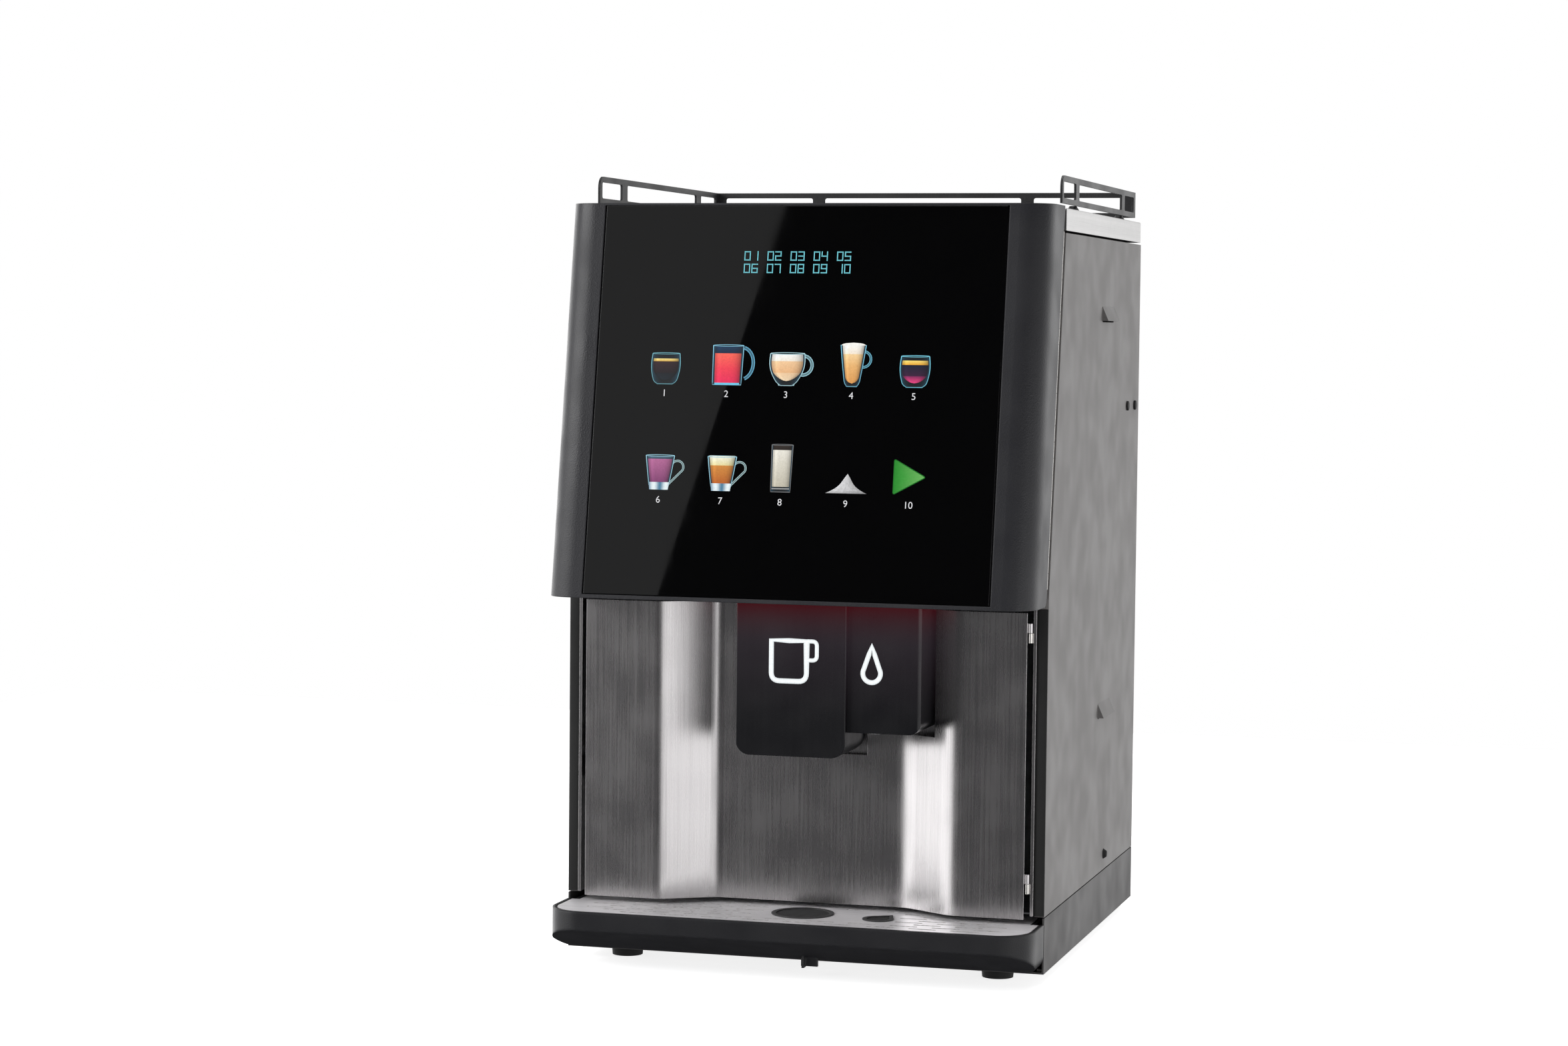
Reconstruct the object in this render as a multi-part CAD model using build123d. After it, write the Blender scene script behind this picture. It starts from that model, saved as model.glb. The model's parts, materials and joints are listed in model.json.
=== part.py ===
from build123d import *
import os
from math import atan, copysign, cos, degrees, radians, sin

# Tabletop hot coffee vending machine, in millimetres.
# X is to the right, Y to the back, Z up. The origin is under the middle of the machine, on the table.

# Cabinet
HALF_WIDTH = 205.0
FRONT = -174.0
BACK = 240.0
FOOT_HEIGHT = 9.0
FOOT_RADIUS = 13.7
BASE_TOP = 55.0
PANEL_BOTTOM = 56.0
PANEL_TOP = 613.5
LEAN_START = 316.0
SLOPE = 0.171
LEAN = degrees(atan(SLOPE))
SHEET = 1.5
FLANGE = 8.0
WIDE_FLANGE = 23.0
REAR_FLANGE = 15.0

# Side panels: louvres as low and high Y and Z, screw covers as Y and Z
LOUVRE_PROUD = 5.5
LOUVRES = ((46.5, 103.0, 542.5, 556.0), (52.5, 107.0, 195.0, 208.5))
PLUGS = ((176.0, 466.5), (214.0, 466.5), (91.0, 70.0))

# Rear panel: X and Z of the mains and water inlets, Y and Z of the lid hinge axis
INLET = (150.0, 92.0)
WATER_INLET = (-150.0, 92.0)
LID_HINGES_X = (-120.0, 120.0)
LID_AXIS = (240.6, 614.5)
LID_BARREL = 2.4
LID_BARREL_LENGTH = 40.0

# Lid and cup rail
LID_BOTTOM = 615.5
LID_TOP = 634.0
LID_FRONT = -122.0
RAIL_BOTTOM = 638.0
RAIL_TOP = 661.0
RAIL_X = 201.0
RAIL_FRONT = -121.0
RAIL_BACK = 229.0
RAIL_SHEET = 2.0
RAIL_POSTS_Y = (-54.0, 164.0)
RAIL_POSTS_X = (-100.0, 100.0)

# Door: a leaning box whose depth is counted from the hinge plane towards the front
HINGE_X = 202.8
HINGE_Y_AT_LEAN_START = -181.4
DOOR_BOTTOM = 310.5
DOOR_TOP = 635.5
DOOR_DEPTH = 60.0
DOOR_BACK = 2.0
DOOR_CORNER = 25.0
DOOR_WALL = 3.0
FRONT_WALL = 7.0
GLASS_HALF = 170.0
GLASS_THICK = 3.8
GLASS_GAP = 1.4
GLASS_BOTTOM = 314.4
GLASS_TOP = 633.2
KNUCKLE_PITCH = 13.4
KNUCKLE_RADIUS = 2.0
PIN_RADIUS = 1.0
RUNNING = 0.05
HINGE_LOW = 8.0
KNUCKLES = 22
PANEL_EDGE_DEPTH = (FRONT - HINGE_Y_AT_LEAN_START) * cos(radians(LEAN))

# Door lock, in the door's own frame
LOCK_DEPTH = 22.0
LOCK_HEIGHT = 150.0
LOCK_RADIUS = 8.0
CAM_X = (-181.0, -178.5)

# Splash panel
TRIM_X = (193.3, 195.8)
SPLASH_HALF = 188.6
SPLASH_BOTTOM = 54.0
SPLASH_TOP = 304.5
SPLASH_FRONT = -179.0
SPLASH_RECESS = -153.0
SPLASH_LEFT_BEND = (-128.0, -75.0)
SPLASH_RIGHT_BEND = (74.0, 136.0)
SPLASH_SLOPE = 32.0
SPLASH_SHEET = 1.5
SPLASH_FOLD = 6.0
SPLASH_HINGE = (191.0, -177.0)
SPLASH_BARREL = 1.7
SPLASH_PIN = 0.8
SPLASH_BARREL_Z = (83.0, 288.0)
SPLASH_BARREL_LENGTH = 16.0
NOTCH_LEFT = -56.0
NOTCH_STEP = 49.5
NOTCH_RIGHT = 110.5
NOTCH_LOW = 180.0
NOTCH_HIGH = 199.0

# Dispense head
HEAD_TOP = 308.5
HEAD_BACK = -146.0
CUP_UNIT = (-46.0, 46.7)
CUP_UNIT_FRONT = -217.0
CUP_UNIT_BOTTOM = 184.0
WATER_UNIT = (46.9, 108.0)
WATER_UNIT_FRONT = -212.0
WATER_UNIT_BOTTOM = 205.0
HEAD_WALL = 2.5
CUP_NOZZLE = (3.0, -187.0)
WATER_NOZZLE = (66.0, -190.0)

# Drip tray
TRAY_HALF = 205.0
TRAY_FRONT = -239.0
TRAY_BACK = -60.0
TRAY_NECK = -176.0
TRAY_NECK_HALF = 198.0
TRAY_TOP = 50.0
TRAY_CREASE = 34.5
TRAY_BOTTOM = 13.0
TRAY_UNDERCUT = -192.0
TRAY_CORNER = 30.0
TRAY_WALL = 2.5
TRAY_END_ROUND = 12.0
GRILLE_THICK = 1.5
GRILLE_BACK = -120.0
SLOT_LENGTH = 23.0
SLOT_WIDTH = 2.4
SLOT_PITCH = 35.0
SLOT_ROW = 9.0
CUP_INSERT = (4.0, -185.0)
CUP_INSERT_RADIUS = 26.0
DROP_INSERT = (70.0, -192.0)
DROP_RADIUS = 13.0
DROP_LENGTH = 34.0
FLOAT = (120.0, -90.0)

# Inside
SHELF = 312.0
BOWLS_X = (20.0, 95.0)
BOWL_Y = -95.0
BOWL_Z = 244.0
HEAD_HOLES_X = (-18.0, 32.0)
CANISTERS_X = (-25.0, 50.0, 125.0)
CANISTER_HALF = 32.0
CANISTER_Y = (-92.0, 110.0)
CANISTER_Z = (400.0, 585.0)
AUGER_Z = 418.0
GRINDER = (-135.0, 15.0)
BREWER = (-145.0, -105.0)
FAN = (-130.0, 500.0)
BOARD_PARTS = ((35, 440, 30, 18), (90, 440, 40, 14), (140, 470, 22, 40))
BOARD_PARTS += ((50, 520, 26, 26), (110, 530, 44, 12))

os.makedirs("parts", exist_ok=True)
made = {}


def keep(name, shape):
    """Store one named piece for export."""
    made[name] = shape


def block(x, y, z):
    """A box between the low and high value of each axis, each given as a pair."""
    spans = (x, y, z)
    size = [high - low for low, high in spans]
    centre = [(high + low) / 2 for low, high in spans]
    return Pos(*centre) * Box(*size)


def rod(centre, radius, length, axis="Z"):
    """A cylinder about its centre, along one axis."""
    turn = {"X": Rot(0, 90, 0), "Y": Rot(90, 0, 0), "Z": Rot(0, 0, 0)}[axis]
    return Pos(*centre) * turn * Cylinder(radius, length)


def pipe(centre, outer, inner, length, axis="Z"):
    """A hollow cylinder about its centre, along one axis."""
    return rod(centre, outer, length, axis) - rod(centre, inner, length + 2, axis)


def side_profile(points, low, high):
    """A profile of (Y, Z) points, extruded between two X values."""
    face = make_face(Plane.YZ * Polyline(*points, close=True))
    return Pos(low, 0, 0) * extrude(face, high - low, dir=(1, 0, 0))


def plan_profile(face, low, high):
    """A face in plan, extruded between two heights."""
    return Pos(0, 0, low) * extrude(face, high - low, dir=(0, 0, 1))


def edge_y(height):
    """Y of the leaning front edge of the side panels at a height."""
    return FRONT + SLOPE * max(0.0, height - LEAN_START)


def mirrored(shape):
    """The same piece on the other side of the machine."""
    return mirror(shape, Plane.YZ)


def union(shapes):
    """All shapes joined in one."""
    total = shapes[0]
    for shape in shapes[1:]:
        total = total + shape
    return total


# Door frame of reference: X as in the machine, Y the depth (front is negative), Z up along the lean
door_place = Pos(0, HINGE_Y_AT_LEAN_START, LEAN_START) * Rot(-LEAN, 0, 0)


def leaning(shape):
    """Place a piece drawn in the door's own upright frame."""
    return door_place * shape


def slab(shape, low, high):
    """Cut a shape with two level planes."""
    return shape & block((-300, 300), (-400, 400), (low, high))


# Base


def base_pan():
    """Sheet pan under the cabinet, open to the front where the drip tray slides in."""
    pan = block((-HALF_WIDTH, HALF_WIDTH), (FRONT, BACK), (FOOT_HEIGHT, BASE_TOP))
    rear = pan.edges().filter_by(Axis.Z).group_by(Axis.Y)[-1]
    pan = fillet(rear, 3)
    inside = HALF_WIDTH - SHEET
    pan -= block((-inside, inside), (FRONT - 1, BACK - SHEET), (FOOT_HEIGHT + SHEET, BASE_TOP + 1))
    for row in range(4):
        for column in range(6):
            x = -125 + 50 * column
            y = 60 + 36 * row
            pan -= block((x - 15, x + 15), (y - 2, y + 2), (FOOT_HEIGHT - 1, FOOT_HEIGHT + SHEET + 1))
    for side in (-1, 1):
        x = side * (inside - 2.4)
        pan += block((x - 2.4, x + 2.4), (FRONT + 4, TRAY_BACK), (FOOT_HEIGHT + SHEET, TRAY_BOTTOM - 0.4))
    return pan


def feet():
    """Four rubber feet under the base pan."""
    foot = Pos(0, 0, FOOT_HEIGHT / 2) * Cone(FOOT_RADIUS - 0.8, FOOT_RADIUS, FOOT_HEIGHT)
    places = [(x, y) for x in (-161, 161) for y in (-146, 205)]
    return union([Pos(x, y, 0) * foot for x, y in places])


# Side panels


def louvre(y_low, y_high, z_low, z_high):
    """Pressed hood on the right panel, open at the bottom, and the hole behind it."""
    face = HALF_WIDTH + LOUVRE_PROUD
    outer = [(HALF_WIDTH - 0.4, z_high), (face, z_low), (HALF_WIDTH - 0.4, z_low)]
    inner = [(HALF_WIDTH - 3, z_high - 2.5), (face - 1.2, z_low - 1), (HALF_WIDTH - 3, z_low - 1)]

    def wedge(points, low, high):
        """Wedge of (X, Z) points between two Y values."""
        face = make_face(Plane.XZ * Polyline(*points, close=True))
        return Pos(0, high, 0) * extrude(face, high - low, dir=(0, -1, 0))

    return wedge(outer, y_low, y_high), wedge(inner, y_low + 1.2, y_high - 1.2)


def side_panel_right():
    """Folded sheet panel with a leaning front edge, two louvres and three plug holes."""
    top_front = edge_y(PANEL_TOP)
    outline = [(FRONT, PANEL_BOTTOM), (FRONT, LEAN_START), (top_front, PANEL_TOP)]
    outline += [(BACK, PANEL_TOP), (BACK, PANEL_BOTTOM)]
    panel = side_profile(outline, HALF_WIDTH - SHEET, HALF_WIDTH)
    lower = [(FRONT, PANEL_BOTTOM), (FRONT, LEAN_START), (FRONT + SHEET, LEAN_START)]
    lower += [(FRONT + SHEET, PANEL_BOTTOM)]
    panel += side_profile(lower, HALF_WIDTH - FLANGE, HALF_WIDTH - SHEET)
    upper = [(FRONT, LEAN_START), (top_front, PANEL_TOP), (top_front + SHEET, PANEL_TOP)]
    upper += [(FRONT + SHEET, LEAN_START)]
    panel += side_profile(upper, HALF_WIDTH - WIDE_FLANGE, HALF_WIDTH - SHEET)
    rear = (HALF_WIDTH - REAR_FLANGE, HALF_WIDTH - SHEET)
    panel += block(rear, (BACK - SHEET, BACK), (PANEL_BOTTOM, PANEL_TOP))
    corner = panel.edges().filter_by(Axis.Z).sort_by(lambda e: e.center().X + e.center().Y)[-1]
    panel = fillet(corner, 3)
    for spans in LOUVRES:
        hood, hole = louvre(*spans)
        panel = panel + hood - hole
    for y, z in PLUGS:
        panel -= rod((HALF_WIDTH, y, z), 2.7, 6, "X")
    return panel


def plugs():
    """Black screw covers: two round heads and one cone on each side."""
    shapes = []
    for y, z in PLUGS[:2]:
        head = rod((HALF_WIDTH + 0.95, y, z), 4.3, 1.9, "X")
        head = fillet(head.edges().filter_by(GeomType.CIRCLE).group_by(Axis.X)[-1], 0.8)
        shapes.append(head + rod((HALF_WIDTH - 1, y, z), 2.5, 3, "X"))
    y, z = PLUGS[2]
    cone = Pos(HALF_WIDTH + 1.5, y, z) * Rot(0, 90, 0) * Cone(4.6, 2.6, 3)
    shapes.append(cone + rod((HALF_WIDTH - 1, y, z), 2.5, 3, "X"))
    right = union(shapes)
    return right + mirrored(right)


def corner_trims():
    """Bright jamb strips beside the splash panel."""
    trim = block(TRIM_X, (FRONT - 2, FRONT + 12), (PANEL_BOTTOM + 0.5, DOOR_BOTTOM - 3))
    return trim + mirrored(trim)


# Rear panel


def rear_panel():
    """Flat back sheet with vents, openings for fan, mains and water, and the fixed lid hinge barrels."""
    half = HALF_WIDTH - REAR_FLANGE - 0.5
    panel = block((-half, half), (BACK - SHEET, BACK), (PANEL_BOTTOM, PANEL_TOP))
    for row in range(9):
        z = 250 + 9 * row
        for x in (-90, 0, 90):
            panel -= block((x - 32, x + 32), (BACK - 5, BACK + 5), (z - 1.8, z + 1.8))
    for step in range(7):
        offset = -30 + 10 * step
        reach = (38 ** 2 - offset ** 2) ** 0.5
        height = (FAN[1] + offset - 2.5, FAN[1] + offset + 2.5)
        panel -= block((FAN[0] - reach, FAN[0] + reach), (BACK - 5, BACK + 5), height)
    x, z = INLET
    panel -= block((x - 14.2, x + 14.2), (BACK - 5, BACK + 5), (z - 24.2, z + 24.2))
    panel -= rod((WATER_INLET[0], BACK, WATER_INLET[1]), 13.6, 10, "Y")
    y, z = LID_AXIS
    for x in LID_HINGES_X:
        for offset in (-15, 15):
            middle = x + offset
            panel += block((middle - 5, middle + 5), (BACK - SHEET, BACK), (z - 10, z - 1))
            barrel = rod((middle, y, z), LID_BARREL, 10, "X")
            panel += barrel & block((-300, 300), (BACK - SHEET, 260), (0, 700))
        panel -= rod((x, y, z), PIN_RADIUS + RUNNING, LID_BARREL_LENGTH + 8, "X")
    for x in LID_HINGES_X:
        gap = (x - 10.3, x + 10.3)
        panel -= block(gap, (BACK - SHEET - 1, BACK + 4), (z - LID_BARREL - 0.5, z + 4))
    return panel


def mains_inlet():
    """Appliance inlet socket with a switch bay above it, behind its flange."""
    x, z = INLET
    body = block((x - 14, x + 14), (BACK - 28, BACK), (z - 24, z + 24))
    body += block((x - 17, x + 17), (BACK, BACK + 1.2), (z - 27, z + 27))
    body -= block((x - 11.5, x + 11.5), (BACK - 18, BACK + 3), (z - 20, z))
    body -= block((x - 9, x + 9), (BACK - 14, BACK + 3), (z + 5, z + 21))
    for offset, drop in ((-6, -8), (0, -13), (6, -8)):
        middle = z + drop
        body += block((x + offset - 1, x + offset + 1), (BACK - 19, BACK - 4), (middle - 2.5, middle + 2.5))
    return body


def mains_rocker():
    """Rocker that tips about a sideways axis in the switch bay."""
    x, z = INLET
    middle = z + 13
    shape = rod((x, BACK - 5, middle), 6.0, 16, "X")
    return shape & block((x - 8, x + 8), (BACK - 12, BACK - 0.6), (middle - 6.5, middle + 6.5))


def water_inlet():
    """Threaded water stub, held by a flange inside the rear panel; it ends just inside the rear face."""
    x, z = WATER_INLET
    shape = pipe((x, BACK - 11, z), 13.2, 8.0, 26, "Y")
    shape += pipe((x, BACK - 8, z), 19.0, 8.0, 5, "Y")
    return shape


# Lid and rail


def lid():
    """Lid pressed from one sheet, with the moving halves of its rear hinges."""
    shape = block((-HALF_WIDTH, HALF_WIDTH), (LID_FRONT, BACK), (LID_BOTTOM, LID_TOP))
    shape = fillet(shape.edges().filter_by(Axis.Z).group_by(Axis.Y)[-1], 6)
    shape = fillet(shape.faces().sort_by(Axis.Z)[-1].edges(), 1.2)
    inside = HALF_WIDTH - 2
    hollow = block((-inside, inside), (LID_FRONT + 2, BACK - 2), (LID_BOTTOM - 1, LID_TOP - 2))
    shape -= fillet(hollow.edges().filter_by(Axis.Z), 4)
    y, z = LID_AXIS
    for x in LID_HINGES_X:
        shape += rod((x, y, z), LID_BARREL, 19.4, "X") & block((-300, 300), (BACK - 1.9, 260), (0, 700))
        shape += block((x - 9.7, x + 9.7), (BACK - 1.9, BACK), (z, LID_BOTTOM + 0.5))
        shape -= rod((x, y, z), PIN_RADIUS + RUNNING, 30, "X")
        for offset in (-15, 15):
            shape -= rod((x + offset, y, z), LID_BARREL + 0.4, 10.6, "X")
    return shape


def cup_rail():
    """Low gallery of sheet on three sides of the lid, with long slots, on cone shaped studs."""
    low, high = RAIL_BOTTOM, RAIL_TOP
    side = block((RAIL_X - RAIL_SHEET, RAIL_X), (RAIL_FRONT, RAIL_BACK), (low, high))
    front_corner = side.edges().filter_by(Axis.X).sort_by(lambda e: e.center().Z - e.center().Y)[-1]
    side = fillet(front_corner, 10)
    slots = ((RAIL_FRONT + 6, RAIL_POSTS_Y[0] - 7), (RAIL_POSTS_Y[0] + 7, RAIL_POSTS_Y[1] - 7))
    slots += ((RAIL_POSTS_Y[1] + 7, RAIL_BACK - 10),)
    for start, end in slots:
        cut = block((RAIL_X - 5, RAIL_X + 5), (start, end), (low + 4.5, high - 4.8))
        side -= fillet(cut.edges().filter_by(Axis.X), 2)
    rear = block((-RAIL_X, RAIL_X), (RAIL_BACK - RAIL_SHEET, RAIL_BACK), (low, high))
    posts = (-RAIL_X + 10, RAIL_POSTS_X[0], RAIL_POSTS_X[1], RAIL_X - 10)
    for left, right in zip(posts, posts[1:]):
        start = left + (0 if left == posts[0] else 6)
        end = right - (0 if right == posts[-1] else 6)
        cut = block((start, end), (RAIL_BACK - 5, RAIL_BACK + 5), (low + 4.5, high - 4.8))
        rear -= fillet(cut.edges().filter_by(Axis.Y), 2)
    shape = side + mirrored(side) + rear
    outer = shape.edges().filter_by(Axis.Z).group_by(Axis.Y)[-1]
    shape = fillet(outer, 1.8)
    stud = Pos(0, 0, (LID_TOP + RAIL_BOTTOM) / 2) * Cone(5.5, 3.0, RAIL_BOTTOM - LID_TOP)
    inset = RAIL_X - RAIL_SHEET / 2 - 3
    for y in RAIL_POSTS_Y:
        shape += Pos(inset, y, 0) * stud + Pos(-inset, y, 0) * stud
    for x in RAIL_POSTS_X:
        shape += Pos(x, RAIL_BACK - 4, 0) * stud
    return shape


# Door


def door_frame():
    """Moulded door shell: curved stiles, a rebate for the glass, open at the back."""
    tall = (-40, 380)
    outer = block((-HALF_WIDTH, HALF_WIDTH), (-DOOR_DEPTH, -DOOR_BACK), tall)
    outer = fillet(outer.edges().filter_by(Axis.Z).group_by(Axis.Y)[0], DOOR_CORNER)
    outer = slab(leaning(outer), DOOR_BOTTOM, DOOR_TOP)
    low_rear = outer.edges().filter_by(Axis.X).sort_by(lambda e: e.center().Y - e.center().Z)[-1]
    outer = fillet(low_rear, 9)
    inside = HALF_WIDTH - DOOR_WALL
    inner = block((-inside, inside), (-DOOR_DEPTH + FRONT_WALL, DOOR_BACK + 4), tall)
    inner = fillet(inner.edges().filter_by(Axis.Z).group_by(Axis.Y)[0], DOOR_CORNER - 6)
    frame = outer - slab(leaning(inner), DOOR_BOTTOM + 3, DOOR_TOP - 3)
    half = GLASS_HALF + GLASS_GAP
    rebate = block((-half, half), (-DOOR_DEPTH - 5, -DOOR_DEPTH + GLASS_THICK), tall)
    frame -= slab(leaning(rebate), GLASS_BOTTOM - 0.6, GLASS_TOP + 0.4)
    window = block((-162, 162), (-DOOR_DEPTH - 5, -DOOR_DEPTH + 20), tall)
    frame -= slab(leaning(window), 322, 626)
    x = -HALF_WIDTH
    frame -= leaning(rod((x, -LOCK_DEPTH, LOCK_HEIGHT), LOCK_RADIUS + 0.1, 12, "X"))
    return frame


def door_glass():
    """Flat front pane, flush with the frame."""
    pane = block((-GLASS_HALF, GLASS_HALF), (-DOOR_DEPTH, -DOOR_DEPTH + GLASS_THICK), (-40, 380))
    return slab(leaning(pane), GLASS_BOTTOM, GLASS_TOP)


def touch_board():
    """Touch key board with its display window, mounted behind the glass."""
    board = block((-150, 150), (-DOOR_DEPTH + 8.5, -DOOR_DEPTH + 10.1), (30, 290))
    board += block((-60, 60), (-DOOR_DEPTH + 10.1, -DOOR_DEPTH + 18), (245, 285))
    for row in range(2):
        for column in range(5):
            x = -110 + 55 * column
            z = 75 + 92 * row
            board += block((x - 17, x + 17), (-DOOR_DEPTH + 10.1, -DOOR_DEPTH + 13), (z - 17, z + 17))
    return leaning(board)


def door_back_cover():
    """Inner cover that closes the back of the door beside the lock."""
    cover = block((-170, HINGE_X - 14), (-8, -DOOR_BACK - 3), (4, 306))
    cover = fillet(cover.edges().filter_by(Axis.Y), 6)
    rim = block((-166, HINGE_X - 18), (-14, -8), (8, 302))
    cover += rim - block((-163, HINGE_X - 21), (-15, -7), (11, 299))
    return leaning(cover)


def lock_barrel():
    """Lock cylinder in the left side of the door, with its key slot."""
    shape = rod((-HALF_WIDTH + 9, -LOCK_DEPTH, LOCK_HEIGHT), LOCK_RADIUS, 20, "X")
    slot_height = (LOCK_HEIGHT - 3.5, LOCK_HEIGHT + 3.5)
    slot = block((-HALF_WIDTH - 2, -HALF_WIDTH + 5), (-LOCK_DEPTH - 0.6, -LOCK_DEPTH + 0.6), slot_height)
    shape -= slot
    shape -= rod((-186, -LOCK_DEPTH, LOCK_HEIGHT), 3.05, 12, "X")
    return leaning(shape)


def lock_cam():
    """Hooked cam that hangs down when the lock is open and turns to the back to lock."""
    low, high = CAM_X
    arm = rod(((low + high) / 2, -LOCK_DEPTH, LOCK_HEIGHT), 7, high - low, "X")
    arm += block(CAM_X, (-LOCK_DEPTH - 3, -LOCK_DEPTH + 3), (LOCK_HEIGHT - 33, LOCK_HEIGHT))
    arm += block(CAM_X, (-LOCK_DEPTH, -LOCK_DEPTH + 9), (LOCK_HEIGHT - 33, LOCK_HEIGHT - 29))
    arm += rod((low - 4.5, -LOCK_DEPTH, LOCK_HEIGHT), 3.0, 9, "X")
    return leaning(arm)


def lock_keeper():
    """Bracket behind the cabinet's left front flange with the pin that the cam hooks behind."""
    edge = WIDE_FLANGE - HALF_WIDTH
    back = PANEL_EDGE_DEPTH + SHEET
    pin_y = -LOCK_DEPTH + 26
    pin_z = LOCK_HEIGHT + 7
    shape = block((edge - 14, edge + 7), (back, back + 2), (pin_z - 36, pin_z + 14))
    shape -= block((edge - 0.3, edge + 4.6), (back - 1, back + 3), (pin_z - 26, pin_z + 6))
    shape += block((edge + 5, edge + 7), (pin_y - 2, back), (pin_z - 2, pin_z + 2))
    shape += rod((edge + 1.5, pin_y, pin_z), 2.0, 9, "X")
    return leaning(shape)


def hinge_side(first, plate, tabs, gap):
    """One half of the door hinge: its plate, and a barrel with a tab at every second place."""
    shape = plate
    for place in range(first, KNUCKLES, 2):
        low = HINGE_LOW + KNUCKLE_PITCH * place + gap
        high = HINGE_LOW + KNUCKLE_PITCH * (place + 1) - gap
        shape += rod((HINGE_X, 0, (low + high) / 2), KNUCKLE_RADIUS, high - low)
        for x, y in tabs:
            shape += block(x, y, (low, high))
    shape -= rod((HINGE_X, 0, 150), PIN_RADIUS + RUNNING, 400)
    return leaning(shape)


def hinge_leaves():
    """Door leaf and cabinet leaf of the long hinge."""
    top = HINGE_LOW + KNUCKLE_PITCH * KNUCKLES
    door_plate = block((HINGE_X - 17, HINGE_X - 2.8), (-2, -1), (HINGE_LOW, top))
    door_tabs = [((HINGE_X - 3, HINGE_X), (-2, -1))]
    depth = PANEL_EDGE_DEPTH - 0.05
    plate = block((HINGE_X - 17, HINGE_X - 1.4), (depth - 1, depth), (HINGE_LOW, top))
    plate += block((HINGE_X - 2.4, HINGE_X - 1.4), (2.6, depth), (HINGE_LOW, top))
    tabs = [((HINGE_X - 2.4, HINGE_X - 1.4), (0, 2.8))]
    return hinge_side(0, door_plate, door_tabs, 0.15), hinge_side(1, plate, tabs, 0.15)


def door_hinge_pin():
    """Pin through all the knuckles."""
    length = KNUCKLE_PITCH * KNUCKLES
    return leaning(rod((HINGE_X, 0, HINGE_LOW + length / 2), PIN_RADIUS, length))


def door_seal():
    """Black foam seal round the cabinet opening, behind the door."""
    top = PANEL_TOP - 8
    outer = block((-187, 184), (2.4, 7.2), (-2, 290))
    inner = block((-178, 175), (0, 9), (8, 281))
    window = block((-192, -172), (0, 9), (118, 176))
    return slab(leaning(outer - inner - window), LEAN_START - 2, top)


# Splash panel


def splash_wire(shift):
    """Front line of the panel in plan: flat ends, a set back middle and two S shaped bends."""

    def bend(start, end, y_start, y_end):
        """S bend between two flats: an arc, a sloping flat and a second arc."""
        turn = radians(SPLASH_SLOPE)
        fall = y_end - y_start
        radius = ((end - start) * sin(turn) - abs(fall) * cos(turn)) / (2 - 2 * cos(turn))
        across = radius * sin(turn)
        deep = copysign(radius * (1 - cos(turn)), fall)
        upper = (start + across, y_start + deep)
        lower = (end - across, y_end - deep)
        first = TangentArc((start, y_start), upper, tangent=(1, 0))
        slope = Line(upper, lower)
        last = TangentArc(lower, (end, y_end), tangent=slope % 1)
        return first + slope + last

    front, recess = SPLASH_FRONT + shift, SPLASH_RECESS + shift
    left, right = SPLASH_LEFT_BEND, SPLASH_RIGHT_BEND
    line = Line((-SPLASH_HALF, front), (left[0], front))
    line += bend(*left, front, recess)
    line += Line((left[1], recess), (right[0], recess))
    line += bend(*right, recess, front)
    line += Line((right[1], front), (SPLASH_HALF, front))
    return line


def splash_face(depth):
    """Plan face between the front line and the same line moved back."""
    front = splash_wire(0)
    rear = splash_wire(depth)
    ends = Line((-SPLASH_HALF, SPLASH_FRONT), (-SPLASH_HALF, SPLASH_FRONT + depth))
    ends += Line((SPLASH_HALF, SPLASH_FRONT), (SPLASH_HALF, SPLASH_FRONT + depth))
    return make_face(front + rear + ends)


def splash_panel():
    """Shaped steel panel with folded edges, a notch round the head and two hinge barrels."""
    shape = plan_profile(splash_face(SPLASH_SHEET), SPLASH_BOTTOM, SPLASH_TOP)
    fold = splash_face(SPLASH_FOLD)
    shape += plan_profile(fold, SPLASH_BOTTOM, SPLASH_BOTTOM + 1.2)
    shape += plan_profile(fold, SPLASH_TOP - 1.2, SPLASH_TOP)
    deep = (-200, -100)
    shape -= block((NOTCH_LEFT, NOTCH_STEP), deep, (NOTCH_LOW, SPLASH_TOP + 1))
    shape -= block((NOTCH_STEP - 1, NOTCH_RIGHT), deep, (NOTCH_HIGH, SPLASH_TOP + 1))
    back = SPLASH_FRONT + SPLASH_SHEET
    x, y = SPLASH_HINGE
    for middle in SPLASH_BARREL_Z:
        high = middle + SPLASH_BARREL_LENGTH / 2
        shape += block((x - 13, x), (back - 0.2, back + 1.2), (middle + 0.2, high))
        half = SPLASH_BARREL_LENGTH / 2
        shape += rod((x, y, middle + half / 2 + 0.1), SPLASH_BARREL, half - 0.2)
    shape -= rod((x, y, 180), SPLASH_PIN + RUNNING, 300)
    return shape


def splash_hinge_brackets():
    """Fixed hinge barrels on the right jamb strip, with their pins."""
    x, y = SPLASH_HINGE
    shapes = []
    for middle in SPLASH_BARREL_Z:
        low = middle - SPLASH_BARREL_LENGTH / 2
        bracket = rod((x, y, middle - SPLASH_BARREL_LENGTH / 4), SPLASH_BARREL, SPLASH_BARREL_LENGTH / 2)
        bracket += block((x + 1.1, 193.3), (y, FRONT + 10), (low, middle))
        bracket += rod((x, y, middle), SPLASH_PIN, SPLASH_BARREL_LENGTH)
        shapes.append(bracket)
    return union(shapes)


# Dispense head


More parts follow.
